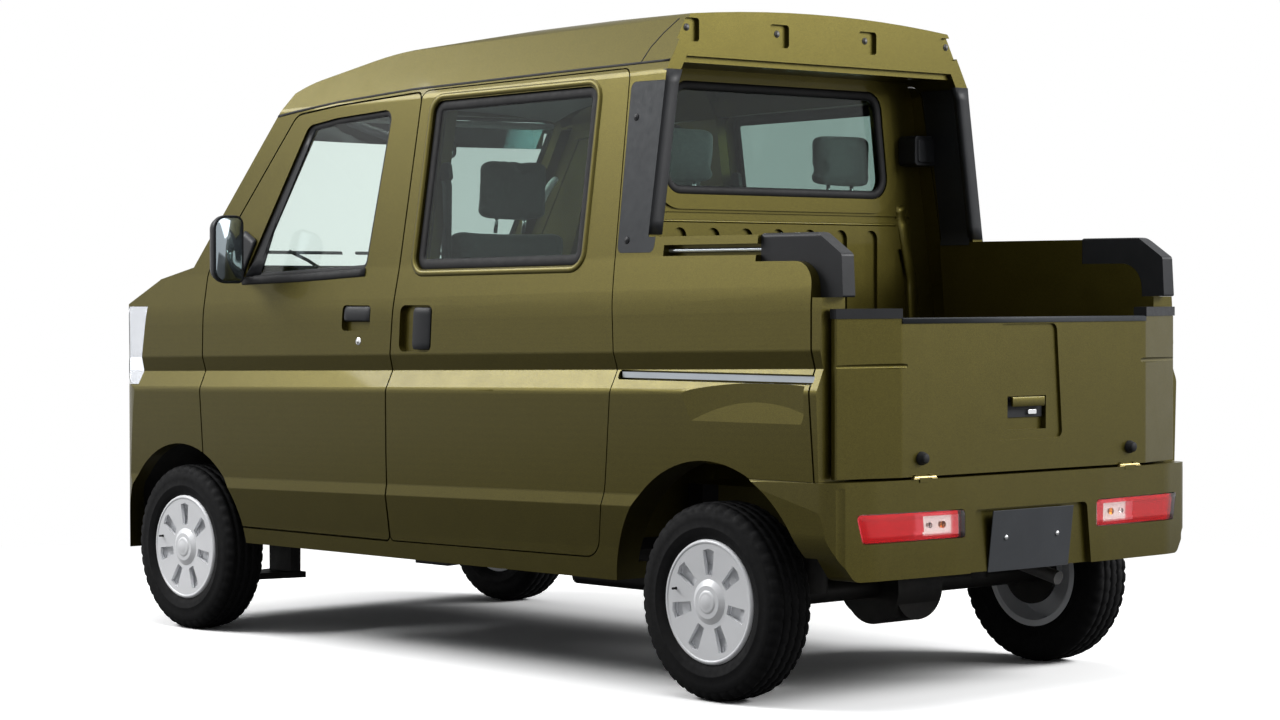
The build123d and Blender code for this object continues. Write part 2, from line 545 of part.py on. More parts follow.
print("rear bumper")
R_PLAN = [(-LENGTH / 2, 300, 600), (-1684, 600, 200), (-1655, HALF_WIDTH - 6, 60), (-1300, HALF_WIDTH, 0)]
rb_rows = R_PLAN + [(x, -y, r) for x, y, r in reversed(R_PLAN)]
rb_sect = both_sides([(660, REAR_BUMPER_Z0, 30), (726, 430, 120), (HALF_WIDTH, REAR_BUMPER_Z1, 10)])
rb = along_z(face_xy(rb_rows), REAR_BUMPER_Z0, REAR_BUMPER_Z1) & along_x(face_yz(rb_sect), -1800, -1200)
rb_in = along_z(face_xy(rb_rows, -BUMPER_T), REAR_BUMPER_Z0 - 10, REAR_BUMPER_Z1 - 22)
rb = rb - (rb_in & along_x(face_yz(rb_sect, -BUMPER_T + 5), -1800, -1100)) - block(-1580, -1290, -705, 705, 300, 700)
rb = rb - arch_rear - mirrored(arch_rear)
# Upright hollow where the bumper turns the corner
HOLLOW = (-1688, 716, 36)
for s in (-1, 1):
    rb = rb - rod((HOLLOW[0], s * HOLLOW[1], REAR_BUMPER_Z0), (HOLLOW[0], s * HOLLOW[1], REAR_BUMPER_Z1 - 14), HOLLOW[2])
LAMP_REAR = [(269, 441, 10), (270, 516, 14), (657, 518, 14), (637, 441, 14)]
tail_prism = along_x(face_yz(LAMP_REAR), -1800, -1400)
tail_lamp = rb & tail_prism & block(-1800, -1560, 200, 800, 400, 600)
tail_lamp = tail_lamp & along_x(face_yz(LAMP_REAR, -SEAM), -1800, -1400)
rb = rb - (tail_prism & block(-1800, -1560, 200, 800, 400, 600))
rb = rb - mirrored(tail_prism & block(-1800, -1560, 200, 800, 400, 600))
PLATE_RECESS = [(250, REAR_BUMPER_Z0 - 20, 0), (229, 512, 15), (-229, 512, 15), (-250, REAR_BUMPER_Z0 - 20, 0)]
rb = rb - along_x(face_yz(PLATE_RECESS), -1800, -1682)
rb = rb + (along_x(face_yz([(240, REAR_BUMPER_Z0, 0), (240, 580, 0), (-240, 580, 0), (-240, REAR_BUMPER_Z0, 0)]),
                   -1682, -1664))
PLATE_HOLE_R = 3.25
PLATE_HOLES = 210
PLATE_Z = 430
for s in (-1, 1):
    rb = rb - rod((-1690, s * PLATE_HOLES / 2, PLATE_Z), (-1650, s * PLATE_HOLES / 2, PLATE_Z), PLATE_HOLE_R)
parts["rear_bumper"] = rb + hinge_barrels
parts["tail_lamps"] = tail_lamp + mirrored(tail_lamp)

print("floor")
wall_gap = WALL_X + WALL_T + SEAM
floor_plate = block(wall_gap, 1050, -598, 598, FLOOR_Z, FLOOR_Z + FLOOR_SHEET)
floor_plate = floor_plate - wheel_cut(FRONT_AXLE_X, FRONT_ARCH_R + WHEELHOUSE_GAP, WHEELHOUSE_Y, 900)
floor_plate = floor_plate - wheel_cut(FRONT_AXLE_X, FRONT_ARCH_R + WHEELHOUSE_GAP, -900, -WHEELHOUSE_Y)
TOE_ROWS = [
    (1040, FLOOR_Z, 0), (1395, 610, 0), (1395, 1095, 0), (1413, 1095, 0), (1413, 598, 0), (1062, FLOOR_Z - 12, 0),
]
toe = cabin & along_y(face_xz(TOE_ROWS), -WHEELHOUSE_Y - 5, WHEELHOUSE_Y + 5)
bulkhead = cabin & block(1395, 1413, -700, 700, 600, 1100)
house = wheel_cut(FRONT_AXLE_X, FRONT_ARCH_R + WHEELHOUSE_GAP + WHEELHOUSE_T, WHEELHOUSE_Y, 900)
house = house & cabin & block(800, 1640, 0, 900, SILL_Z + 60, 700)
house_in = wheel_cut(FRONT_AXLE_X, FRONT_ARCH_R + WHEELHOUSE_GAP, WHEELHOUSE_Y + WHEELHOUSE_T, 900)
house = house - house_in - block(700, 1200, 640, 900, 200, 640)
PLATFORM = (150, 790, 590, 700)
cover = block(PLATFORM[0], PLATFORM[1], -PLATFORM[2], PLATFORM[2], FLOOR_Z + FLOOR_SHEET - 5, PLATFORM[3])
cover = cover - block(PLATFORM[0] + 15, PLATFORM[1] - 15, -PLATFORM[2] + 15, PLATFORM[2] - 15, 300, PLATFORM[3] - 15)
engine_hole = block(PLATFORM[0] + 30, PLATFORM[1] - 30, -290, 290, 300, FLOOR_Z + FLOOR_SHEET + 1)
floor_pan = (floor_plate - engine_hole) + cover + toe
floor_pan = floor_pan + (bulkhead - house_in - mirrored(house_in)) + house + mirrored(house)
for s in (-1, 1):
    y0, y1 = sorted((s * RAIL_Y[0], s * RAIL_Y[1]))
    floor_pan = floor_pan + block(wall_gap, 1560, y0, y1, FLOOR_Z - 70, FLOOR_Z)
    floor_pan = floor_pan + block(WALL_X - 60, wall_gap + 60, y0, y1, FLOOR_Z - 70, FLOOR_Z - 21)
    floor_pan = floor_pan + block(WALL_X - 60, WALL_X - 1, y0, y1, FLOOR_Z - 30, BED_FLOOR_Z - BED_SHEET - 80 - SEAM)
for x in (-640, -120, 1030):
    floor_pan = floor_pan + block(x - 30, x + 30, -595, 595, FLOOR_Z - 40, FLOOR_Z)
parts["floor_pan"] = floor_pan - house_in - mirrored(house_in)

print("cabin fittings")
DASH_ROWS = [
    (1394.6, 1088, 0), (1150, 1128, 60), (985, 1112, 50), (925, 1040, 60), (950, 900, 40), (1040, 790, 60),
    (1120, 720, 20), (1394.6, 720, 0),
]
dash = cabin & along_y(face_xz(DASH_ROWS), -596, 596)
HUB = Vector(780, -325, 1015)
column_dir = Vector(1, 0, -1).normalized()
column = rod(HUB + column_dir * (24 + FIT), HUB + column_dir * 360, 26)
dash = dash + column
parts["dashboard"] = dash
RIM_POINTS = [(180 + 14 * math.cos(k * math.pi / 3), 14 * math.sin(k * math.pi / 3)) for k in range(6)]
rim = revolve(Plane.XZ * make_face(Polyline(*RIM_POINTS, close=True)), axis=Axis.Z)
spokes = block(-172, 172, -14, 14, -14, -4) + block(-14, 14, -172, 0, -14, -4)
hub = Pos(0, 0, -8) * Cylinder(48, 32)
wheel_plane = Plane(origin=HUB, z_dir=column_dir * -1, x_dir=(0, 1, 0))
parts["steering_wheel"] = wheel_plane * (rim + spokes + hub)

SEAT_Y = 325
CUSHION = [(180, 700 + SEAM, 10), (640, 700 + SEAM, 30), (655, 800, 40), (590, 842, 60), (180, 812, 10)]
BACK = [(130, 730, 30), (240, 770, 30), (232, 830, 20), (142, 1278, 35), (48, 1284, 35)]
HEADREST = [(40, 1302, 25), (118, 1302, 25), (104, 1486, 28), (32, 1486, 28)]


def seat(y, cushion_half, back_half):
    """Cushion, back and headrest as one block."""
    shape = along_y(face_xz(CUSHION), y - cushion_half, y + cushion_half)
    shape = shape + along_y(face_xz(BACK), y - back_half, y + back_half)
    shape = shape + along_y(face_xz(HEADREST), y - 130, y + 130)
    for dy in (-55, 55):
        shape = shape + rod((90, y + dy, 1270), (82, y + dy, 1320), 6)
    return shape


parts["front_seats"] = seat(SEAT_Y, 235, 228) + seat(-SEAT_Y, 235, 228)
BENCH_BASE = [(-560, FLOOR_Z + FLOOR_SHEET + SEAM, 0), (-210, FLOOR_Z + FLOOR_SHEET + SEAM, 0), (-200, 640, 0), (-560, 640, 0)]
BENCH_CUSHION = [(-640, 636, 10), (-180, 636, 30), (-160, 740, 40), (-220, 778, 50), (-640, 752, 10)]
BENCH_BACK = [(-690, 640, 20), (-590, 660, 20), (-575, 760, 20), (-628, 1376, 30), (-703, 1376, 25)]
BENCH_REST = [(-700, 1396, 20), (-640, 1396, 20), (-644, 1556, 25), (-703, 1556, 25)]
bench = along_y(face_xz(BENCH_BASE), -500, 500) + along_y(face_xz(BENCH_CUSHION), -560, 560)
bench = bench + along_y(face_xz(BENCH_BACK), -560, 560)
for y in (-SEAT_Y, SEAT_Y):
    bench = bench + along_y(face_xz(BENCH_REST), y - 125, y + 125)
    for dy in (-50, 50):
        bench = bench + rod((-668, y + dy, 1366), (-670, y + dy, 1410), 6)
parts["rear_bench"] = bench

print("under the floor")
ENGINE = (240, 700, -250, 240, 285, 655)
parts["engine_block"] = chamfer(block(*ENGINE).edges().filter_by(Axis.X), 30) + block(200, 241, -60, 60, 300, 380)
drive = block(-60, 200 - SEAM, -85, 85, 225, 385)
drive = chamfer(drive.edges().filter_by(Axis.X), 30)
drive = drive + rod((-60, 0, 305), (REAR_AXLE_X + 118, 0, TYRE_R + 2), 30)
parts["driveline"] = drive
AXLE_TUBE_R = 32
axle = rod((REAR_AXLE_X, -588, TYRE_R), (REAR_AXLE_X, 588, TYRE_R), AXLE_TUBE_R)
axle = axle + rod((REAR_AXLE_X + 116, 0, TYRE_R), (REAR_AXLE_X - 95, 0, TYRE_R), 92)
axle = axle + rod((REAR_AXLE_X, -90, TYRE_R), (REAR_AXLE_X, 90, TYRE_R), 105)
spring_top = BED_FLOOR_Z - BED_SHEET - 80 - SEAM
for s in (-1, 1):
    axle = axle + rod((REAR_AXLE_X, s * 588, TYRE_R), (REAR_AXLE_X, s * 705, TYRE_R), SPINDLE_R)
    axle = axle + rod((REAR_AXLE_X, s * 586, TYRE_R), (REAR_AXLE_X, s * 598, TYRE_R), 95)
    axle = axle + rod((REAR_AXLE_X, s * 330, TYRE_R), (REAR_AXLE_X, s * 330, spring_top), 48)
parts["rear_axle"] = axle
tank = block(-600, -160, 62, RAIL_Y[0] - 4, 215, FLOOR_Z - SEAM)
parts["fuel_tank"] = fillet(tank.edges().filter_by(Axis.X), 25)
# Exhaust run: x, z along the right of the propeller shaft
EXHAUST_Y = -190
EXHAUST_R = 19
EXHAUST = [
    (ENGINE[0] - FIT, 330), (150, 330), (-150, 298), (-520, 298), (-1050, 372), (-1330, 372), (-1630, 300),
]
exhaust = rod((-520, EXHAUST_Y, 298), (-170, EXHAUST_Y, 298), 58)
for (x0, z0), (x1, z1) in zip(EXHAUST, EXHAUST[1:]):
    exhaust = exhaust + rod((x0, EXHAUST_Y, z0), (x1, EXHAUST_Y, z1), EXHAUST_R)
parts["exhaust"] = exhaust
arm_rows = [(FRONT_AXLE_X - 90, 300, 0), (FRONT_AXLE_X + 90, 300, 0), (FRONT_AXLE_X + 22, KINGPIN_Y + 20, 15),
            (FRONT_AXLE_X - 22, KINGPIN_Y + 20, 15)]
arm = along_z(face_xy(arm_rows), 145, 165)
sub = block(FRONT_AXLE_X - 80, FRONT_AXLE_X + 80, -370, 370, 250, FLOOR_Z - 70 - SEAM)
leg = block(FRONT_AXLE_X - 60, FRONT_AXLE_X + 60, 300, 340, 150, 260)
tower = rod((FRONT_AXLE_X, KINGPIN_Y, STRUT_TOP_Z + 0.4), (FRONT_AXLE_X, KINGPIN_Y, 640), 40)
tower = tower & wheel_cut(FRONT_AXLE_X, FRONT_ARCH_R + WHEELHOUSE_GAP - SEAM, 300, 900)
half = arm + leg + tower
parts["front_suspension"] = sub + half + mirrored(half)

print("wheels")
knuckle = rod((FRONT_AXLE_X, KINGPIN_Y, 165.4), (FRONT_AXLE_X, KINGPIN_Y, STRUT_TOP_Z), STRUT_R)
knuckle = knuckle + block(FRONT_AXLE_X - 40, FRONT_AXLE_X + 40, KINGPIN_Y - 18, 596, 210, 320)
knuckle = knuckle + rod((FRONT_AXLE_X, 590, TYRE_R), (FRONT_AXLE_X, 705, TYRE_R), SPINDLE_R)
parts["knuckle_left"] = knuckle
parts["knuckle_right"] = mirrored(knuckle)

# Sections of wheel, cover and tyre: radius, offset outward from the wheel's middle plane
RIM_SECTION = [
    (14 + SPINDLE_CLEAR, -44), (50, -44), (50, 26), (141, 28), (144, -RIM_HALF), (162, -RIM_HALF), (RIM_R, -50),
    (RIM_R, 50), (162, RIM_HALF), (100, 38), (60, 54), (14 + SPINDLE_CLEAR, 54),
]
COVER_SECTION = [(0, 53.5), (60, 53), (100, 51), (166, 57), (163, 65), (120, 63), (60, 60), (44, 69), (0, 70)]
TYRE_SECTION = [(RIM_R + 0.3, 50), (212, TYRE_WIDTH / 2), (TYRE_R, 56)]


def turned(rows, axle_x, plane_y, outward):
    """Solid of revolution about a wheel's axle, from rows radius, offset."""
    profile = make_face(Polyline(*rows, close=True))
    plane = Plane(origin=(axle_x, plane_y, TYRE_R), x_dir=(1, 0, 0), z_dir=(0, 0, 1))
    if outward < 0:
        profile = mirror(profile, about=Plane.XZ)
    return revolve(plane * profile, axis=Axis((axle_x, plane_y, TYRE_R), (0, 1, 0)))


COVER_SLOTS = 7
SLOT_ROWS = [(71, 13, 0), (71, -13, 0), (136, -21, 0), (142, 0, 0), (136, 21, 0)]
tyre_rows = TYRE_SECTION + [(r, -v) for r, v in reversed(TYRE_SECTION)]
for name, axle_x, s in (("fl", FRONT_AXLE_X, 1), ("fr", FRONT_AXLE_X, -1), ("rl", REAR_AXLE_X, 1), ("rr", REAR_AXLE_X, -1)):
    plane_y = s * TRACK / 2
    wheel = turned(RIM_SECTION, axle_x, plane_y, s) + turned(COVER_SECTION, axle_x, plane_y, s)
    for k in range(COVER_SLOTS):
        face = Plane(origin=(axle_x, plane_y + s * 45, TYRE_R), z_dir=(0, s, 0), x_dir=(0, 0, 1))
        cut = extrude((face * Rot(0, 0, k * 360 / COVER_SLOTS)) * face_xy(SLOT_ROWS), amount=40)
        wheel = wheel - cut
    parts["wheel_" + name] = wheel
    parts["tyre_" + name] = turned(tyre_rows, axle_x, plane_y, s)

for name, shape in parts.items():
    export_step(shape, "parts/" + name + ".step")
print(len(parts), "nodes")
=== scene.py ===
import math

import bmesh
import bpy
from mathutils import Matrix, Vector
from mathutils.bvhtree import BVHTree

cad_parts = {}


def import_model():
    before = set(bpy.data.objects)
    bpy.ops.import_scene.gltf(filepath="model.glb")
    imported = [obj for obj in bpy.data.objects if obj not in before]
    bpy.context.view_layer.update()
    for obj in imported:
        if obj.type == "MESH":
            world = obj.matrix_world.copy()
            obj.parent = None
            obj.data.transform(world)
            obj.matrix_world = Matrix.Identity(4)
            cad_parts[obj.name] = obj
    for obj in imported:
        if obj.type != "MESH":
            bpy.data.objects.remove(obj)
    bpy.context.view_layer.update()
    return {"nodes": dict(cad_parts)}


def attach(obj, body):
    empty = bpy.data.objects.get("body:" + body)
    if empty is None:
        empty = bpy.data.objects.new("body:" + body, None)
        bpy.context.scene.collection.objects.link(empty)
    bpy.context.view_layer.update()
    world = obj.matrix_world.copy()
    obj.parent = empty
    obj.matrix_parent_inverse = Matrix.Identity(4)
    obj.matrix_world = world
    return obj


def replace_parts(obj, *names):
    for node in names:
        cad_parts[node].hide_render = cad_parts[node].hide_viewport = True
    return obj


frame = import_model()
NODES = frame["nodes"]
SCENE = bpy.context.scene
SCENE.view_settings.view_transform = "Standard"

# Camera, in metres and degrees
CAMERA_AT = Vector((-7.035, 6.296, 1.086))
CAMERA_YAW = -42.93
CAMERA_PITCH = -1.247
CAMERA_ROLL = -0.085
CAMERA_LENS = 86.08
CAMERA_SHIFT = (-0.0224, -0.0012)

# Floor: reflectance where it shows, and where it fades into the backdrop
FLOOR_WHITE = 1.5
FLOOR_FADE = (2.2, 4.5)
GLOSS_FADE = (3.5, 9.0)

# Colours between which the paint's flakes vary, and the scale of slow changes in the other finishes
PAINT_DEEP = (0.042, 0.0342, 0.0042)
PAINT_LIGHT = (0.107, 0.0895, 0.014)
PATCH_SCALE = 6

# Places shared by several pieces, in metres
FRONT_AXLE_X = 1.261
REAR_AXLE_X = -1.189
TYRE_R = 0.265
HALF_TRACK = 0.6525
GATE_X = -1.685
SEAT_Y = 0.325
SIDES = (("left", 1), ("right", -1))
Y_AXIS = Vector((0, 1, 0))


# Shader helpers


def new_material(name):
    material = bpy.data.materials.new(name)
    material.use_nodes = True
    shader = material.node_tree.nodes["Principled BSDF"]
    return material, material.node_tree, shader


def set_inputs(node, values):
    for name, value in values.items():
        node.inputs[name].default_value = value


def position(tree):
    """Place on the object, in metres."""
    return tree.nodes.new("ShaderNodeTexCoord").outputs["Object"]


def noise(tree, scale, detail):
    node = tree.nodes.new("ShaderNodeTexNoise")
    set_inputs(node, {"Scale": scale, "Detail": detail, "Roughness": 0.6})
    tree.links.new(position(tree), node.inputs["Vector"])
    return node.outputs["Fac"]


def ramp(tree, source, low, high, start=0.3, end=0.7):
    """Colour ramp between two colours or grey levels."""
    node = tree.nodes.new("ShaderNodeValToRGB")
    ends = node.color_ramp.elements
    ends[0].position, ends[1].position = start, end
    for end_stop, colour in ((ends[0], low), (ends[1], high)):
        rgb = colour if isinstance(colour, tuple) else (colour,) * 3
        end_stop.color = (*rgb, 1)
    tree.links.new(source, node.inputs["Fac"])
    return node.outputs["Color"]


def bump(tree, shader, height, strength, distance=0.001):
    node = tree.nodes.new("ShaderNodeBump")
    set_inputs(node, {"Strength": strength, "Distance": distance})
    tree.links.new(height, node.inputs["Height"])
    tree.links.new(node.outputs["Normal"], shader.inputs["Normal"])


def mixed(tree, share, first, second):
    """Two shaders mixed: the first where share is 0, the second where it is 1."""
    node = tree.nodes.new("ShaderNodeMixShader")
    for socket, source in enumerate((share, first, second)):
        tree.links.new(source, node.inputs[socket])
    return node.outputs["Shader"]


def textured(name, dark, light, rough, grain, strength, metallic=0.0, coat=0.0, spread=0.06, shine=0.2):
    """Finish with a fine surface grain, a slow change of colour and a little change of gloss."""
    material, tree, shader = new_material(name)
    patches = ramp(tree, noise(tree, PATCH_SCALE, 6), dark, light)
    gloss = ramp(tree, noise(tree, PATCH_SCALE * 9, 5), rough - spread, rough + spread)
    tree.links.new(patches, shader.inputs["Base Color"])
    tree.links.new(gloss, shader.inputs["Roughness"])
    set_inputs(shader, {
        "Specular IOR Level": shine, "Metallic": metallic, "Coat Weight": coat, "Coat Roughness": 0.08,
    })
    bump(tree, shader, noise(tree, grain, 3), strength)
    return material


def paint():
    """Olive gold metallic under a clear coat, with fine flakes."""
    material, tree, shader = new_material("body_paint")
    flakes = tree.nodes.new("ShaderNodeTexVoronoi")
    set_inputs(flakes, {"Scale": 1400})
    tree.links.new(position(tree), flakes.inputs["Vector"])
    colour = ramp(tree, flakes.outputs["Color"], PAINT_DEEP, PAINT_LIGHT, 0.1, 0.9)
    tree.links.new(colour, shader.inputs["Base Color"])
    set_inputs(shader, {"Metallic": 0.85, "Coat Weight": 0.15, "Coat Roughness": 0.05})
    tree.links.new(ramp(tree, noise(tree, 14, 4), 0.38, 0.44), shader.inputs["Roughness"])
    bump(tree, shader, noise(tree, 260, 2), 0.02, 0.0004)
    return material


def clear(name, colour, rough=0.0, tint=1.0, ior=1.45):
    """Thin glass or lens. It lets the lamps through to what is behind it."""
    material, tree, shader = new_material(name)
    material.surface_render_method = "DITHERED"
    set_inputs(shader, {"Base Color": (*colour, 1), "Roughness": rough, "Transmission Weight": 1, "IOR": ior})
    through = tree.nodes.new("ShaderNodeBsdfTransparent")
    set_inputs(through, {"Color": (*(c * tint for c in colour), 1)})
    path = tree.nodes.new("ShaderNodeLightPath")
    both = mixed(tree, path.outputs["Is Shadow Ray"], shader.outputs["BSDF"], through.outputs["BSDF"])
    tree.links.new(both, tree.nodes["Material Output"].inputs["Surface"])
    return material


def weave(name, dark, light, scale=520):
    """Woven seat cloth: two crossed waves under a soft sheen."""
    material, tree, shader = new_material(name)
    waves = []
    for direction in ("X", "Z"):
        wave = tree.nodes.new("ShaderNodeTexWave")
        wave.bands_direction = direction
        set_inputs(wave, {"Scale": scale, "Distortion": 0.6})
        tree.links.new(position(tree), wave.inputs["Vector"])
        waves.append(wave.outputs["Fac"])
    cross = tree.nodes.new("ShaderNodeMath")
    cross.operation = "MULTIPLY"
    tree.links.new(waves[0], cross.inputs[0])
    tree.links.new(waves[1], cross.inputs[1])
    tree.links.new(ramp(tree, noise(tree, 90, 6), dark, light), shader.inputs["Base Color"])
    set_inputs(shader, {"Roughness": 0.92, "Sheen Weight": 0.25})
    bump(tree, shader, cross.outputs["Value"], 0.1, 0.0004)
    return material


# Solid finishes: dark and light colour, roughness, grain's scale and strength, metallic, coat, spread of
# roughness, shine
SOLID = {
    "black_plastic": ((0.012, 0.013, 0.015), (0.02, 0.021, 0.024), 0.42, 1100, 0.15),
    "grey_trim": ((0.02, 0.023, 0.027), (0.028, 0.032, 0.037), 0.5, 1200, 0.12),
    "rubber": ((0.01, 0.01, 0.011), (0.019, 0.019, 0.02), 0.62, 700, 0.2),
    "black_steel": ((0.014, 0.014, 0.014), (0.03, 0.028, 0.026), 0.5, 160, 0.3, 0.4),
    "cast_grey": ((0.1, 0.1, 0.1), (0.19, 0.185, 0.18), 0.55, 220, 0.5, 0.6),
    "rail_alloy": ((0.46, 0.5, 0.54), (0.52, 0.56, 0.6), 0.34, 300, 0.02, 0.8),
    "wheel_silver": ((0.87, 0.88, 0.9), (0.92, 0.93, 0.95), 0.38, 1600, 0.05, 0.1, 0.2),
    "tyre": ((0.004, 0.004, 0.0045), (0.009, 0.009, 0.0095), 0.7, 420, 0.25, 0.0, 0.0, 0.1, 0.12),
    "dash_plastic": ((0.07, 0.072, 0.075), (0.09, 0.092, 0.095), 0.6, 800, 0.12),
    "pale_plastic": ((0.42, 0.45, 0.43), (0.5, 0.53, 0.51), 0.55, 900, 0.1),
    "chrome": ((0.72, 0.73, 0.75), (0.8, 0.81, 0.82), 0.16, 300, 0.03, 1.0),
    "zinc_gold": ((0.52, 0.42, 0.17), (0.66, 0.55, 0.26), 0.32, 500, 0.2, 0.9),
    "carpet": ((0.03, 0.03, 0.03), (0.055, 0.055, 0.053), 0.95, 1500, 0.3),
    "headliner": ((0.3, 0.31, 0.3), (0.36, 0.37, 0.36), 0.95, 1300, 0.15),
    "lamp_silver": ((0.5, 0.48, 0.47), (0.58, 0.56, 0.55), 0.22, 300, 0.05, 0.9),
    "plate_grey": ((0.04, 0.043, 0.048), (0.052, 0.056, 0.062), 0.5, 700, 0.12),
    "mirror_glass": ((0.3, 0.35, 0.38), (0.34, 0.39, 0.42), 0.08, 200, 0.01, 0.9),
}
# Clear finishes: colour, roughness, how much of the lamps' light passes, IOR
CLEAR = {
    "glass": ((0.86, 0.93, 0.9), 0.0, 0.95, 1.3),
    "tinted_glass": ((0.43, 0.53, 0.5), 0.0, 0.9, 1.3),
    "clear_lens": ((0.97, 0.98, 1.0), 0.02),
    "red_lens": ((0.6, 0.006, 0.01), 0.03),
    "tail_clear": ((0.98, 0.8, 0.78), 0.05),
    "bulb_amber": ((0.95, 0.36, 0.04), 0.05),
    "shade_green": ((0.1, 0.42, 0.4), 0.0, 0.9),
}
# Woven finishes: dark and light colour, threads' scale
WOVEN = {
    "seat_fabric": ((0.045, 0.05, 0.05), (0.085, 0.092, 0.09), 520),
    "belt_webbing": ((0.03, 0.031, 0.033), (0.05, 0.051, 0.053), 900),
}
MATERIALS = {
    "body_paint": paint(),
    **{name: textured(name, *row) for name, row in SOLID.items()},
    **{name: clear(name, *row) for name, row in CLEAR.items()},
    **{name: weave(name, *row) for name, row in WOVEN.items()},
}

NODE_FINISH = {
    "body_paint": (
        "body_side_left", "body_side_right", "roof", "nose_panel", "cowl", "bonnet", "front_bumper",
        "rear_wall", "bed_floor", "sliding_door_left", "sliding_door_right", "rear_bumper",
        "front_door_left", "front_door_right", "tailgate",
    ),
    "glass": ("windscreen", "door_glass_left", "door_glass_right"),
    "tinted_glass": ("rear_window", "sliding_glass"),
    "clear_lens": ("headlamp_lenses",),
    "red_lens": ("tail_lamps",),
    "black_plastic": ("grille", "mirror_left", "mirror_right", "corner_guards", "gate_caps"),
    "grey_trim": ("pillar_trims",),
    "chrome": ("headlamps",),
    "rail_alloy": ("slide_rails", "bed_rods"),
    "black_steel": (
        "floor_pan", "rear_axle", "fuel_tank", "front_suspension", "knuckle_left", "knuckle_right",
    ),
    "cast_grey": ("engine_block", "driveline", "exhaust"),
    "wheel_silver": ("wheel_fl", "wheel_fr", "wheel_rl", "wheel_rr"),
    "tyre": ("tyre_fl", "tyre_fr", "tyre_rl", "tyre_rr"),
    "dash_plastic": ("dashboard", "steering_wheel"),
    "seat_fabric": ("front_seats", "rear_bench"),
}
for finish, names in NODE_FINISH.items():
    for name in names:
        NODES[name].data.materials.clear()
        NODES[name].data.materials.append(MATERIALS[finish])


# Mesh helpers


def link_mesh(name, bm):
    """Object of a bmesh, linked to the scene."""
    mesh = bpy.data.meshes.new(name)
    bm.to_mesh(mesh)
    bm.free()
    piece = bpy.data.objects.new(name, mesh)
    SCENE.collection.objects.link(piece)
    return piece


def place(name, bm, finish, body="root", bevel=0.0, segments=2, subdivide=0):
    """Makes an object of a bmesh, finishes it and lets it ride on a body."""
    bmesh.ops.recalc_face_normals(bm, faces=bm.faces)
    piece = link_mesh(name, bm)
    piece.data.materials.append(MATERIALS[finish])
    for polygon in piece.data.polygons:
        polygon.use_smooth = True
    if bevel > 0:
        rounding = piece.modifiers.new("edges", "BEVEL")
        rounding.width = bevel
        rounding.segments = segments
        rounding.limit_method = "ANGLE"
        rounding.harden_normals = True
    if subdivide > 0:
        finer = piece.modifiers.new("smooth", "SUBSURF")
        finer.levels = finer.render_levels = subdivide
    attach(piece, body)
    return piece


def merge(target, source, matrix=None):
    """Adds a bmesh to another."""
    mesh = bpy.data.meshes.new("part")
    source.to_mesh(mesh)
    source.free()
    if matrix is not None:
        mesh.transform(matrix)
    target.from_mesh(mesh)
    bpy.data.meshes.remove(mesh)
    return target


def box(lo, hi):
    bm = bmesh.new()
    bmesh.ops.create_cube(bm, size=1)
    lo, hi = Vector(lo), Vector(hi)
    for vert in bm.verts:
        vert.co = Vector(((lo[i] + hi[i]) / 2 + vert.co[i] * (hi[i] - lo[i]) for i in range(3)))
    return bm


def join_rings(bm, rings, around=True, along=False):
    """Faces between each ring of points and the next. along joins the last ring to the first as well."""
    size = len(rings[0])
    following = rings[1:] + rings[:1] if along else rings[1:]
    for a, b in zip(rings, following):
        for i in range(size if around else size - 1):
            j = (i + 1) % size
            bm.faces.new((a[i], a[j], b[j], b[i]))


def prism(outline, axis, start, end):
    """Solid between two copies of a flat outline. axis 0 takes y, z points, 1 takes x, z and 2 takes x, y."""
    bm = bmesh.new()
    rings = []
    for level in (start, end):
        ring = []
        for a, b in outline:
            point = [a, b]
            point.insert(axis, level)
            ring.append(bm.verts.new(point))
        rings.append(ring)
    join_rings(bm, rings)
    bm.faces.new(rings[0])
    bm.faces.new(rings[1])
    return bm


def slab(rows, axis, start, end, steps=6):
    """Prism of corner rows, each with its radius."""
    return prism(rounded(rows, steps), axis, start, end)


def rect(a0, b0, a1, b1, radius):
    """Corner rows of a rectangle."""
    return [(a0, b0, radius), (a1, b0, radius), (a1, b1, radius), (a0, b1, radius)]


def lathe(profile, origin, axis, steps=64):
    """Surface of revolution: profile rows are radius and distance along the axis from the origin."""
    bm = bmesh.new()
    turn = Vector((0, 0, 1)).rotation_difference(Vector(axis)).to_matrix()
    rings = []
    for k in range(steps):
        angle = 2 * math.pi * k / steps
        spoke = Vector((math.cos(angle), math.sin(angle), 0))
        ring = [Vector(origin) + turn @ (spoke * r + Vector((0, 0, h))) for r, h in profile]
        rings.append([bm.verts.new(point) for point in ring])
    join_rings(bm, rings, around=False, along=True)
    bmesh.ops.remove_doubles(bm, verts=bm.verts, dist=1e-6)
    return bm


def several(profile, origins, axis, steps):
    """The same surface of revolution at several places."""
    bm = bmesh.new()
    for origin in origins:
        merge(bm, lathe(profile, origin, axis, steps))
    return bm


def sweep(points, section, closed=False, up=Y_AXIS):
    """Runs a flat section, rows across and out, along a line of points. out follows up."""
    bm = bmesh.new()
    rings = []
    count = len(points)
    for k, point in enumerate(points):
        before = points[k - 1] if closed or k > 0 else point
        after = points[(k + 1) % count] if closed or k < count - 1 else point
        ahead = (Vector(after) - Vector(before)).normalized()
        out = up[k] if isinstance(up, list) else up
        out = (out - ahead * out.dot(ahead)).normalized()
        across = ahead.cross(out)
        rings.append([bm.verts.new(Vector(point) + across * a + out * b) for a, b in section])
    join_rings(bm, rings, along=closed)
    if not closed:
        bm.faces.new(rings[0])
        bm.faces.new(rings[-1])
    return bm


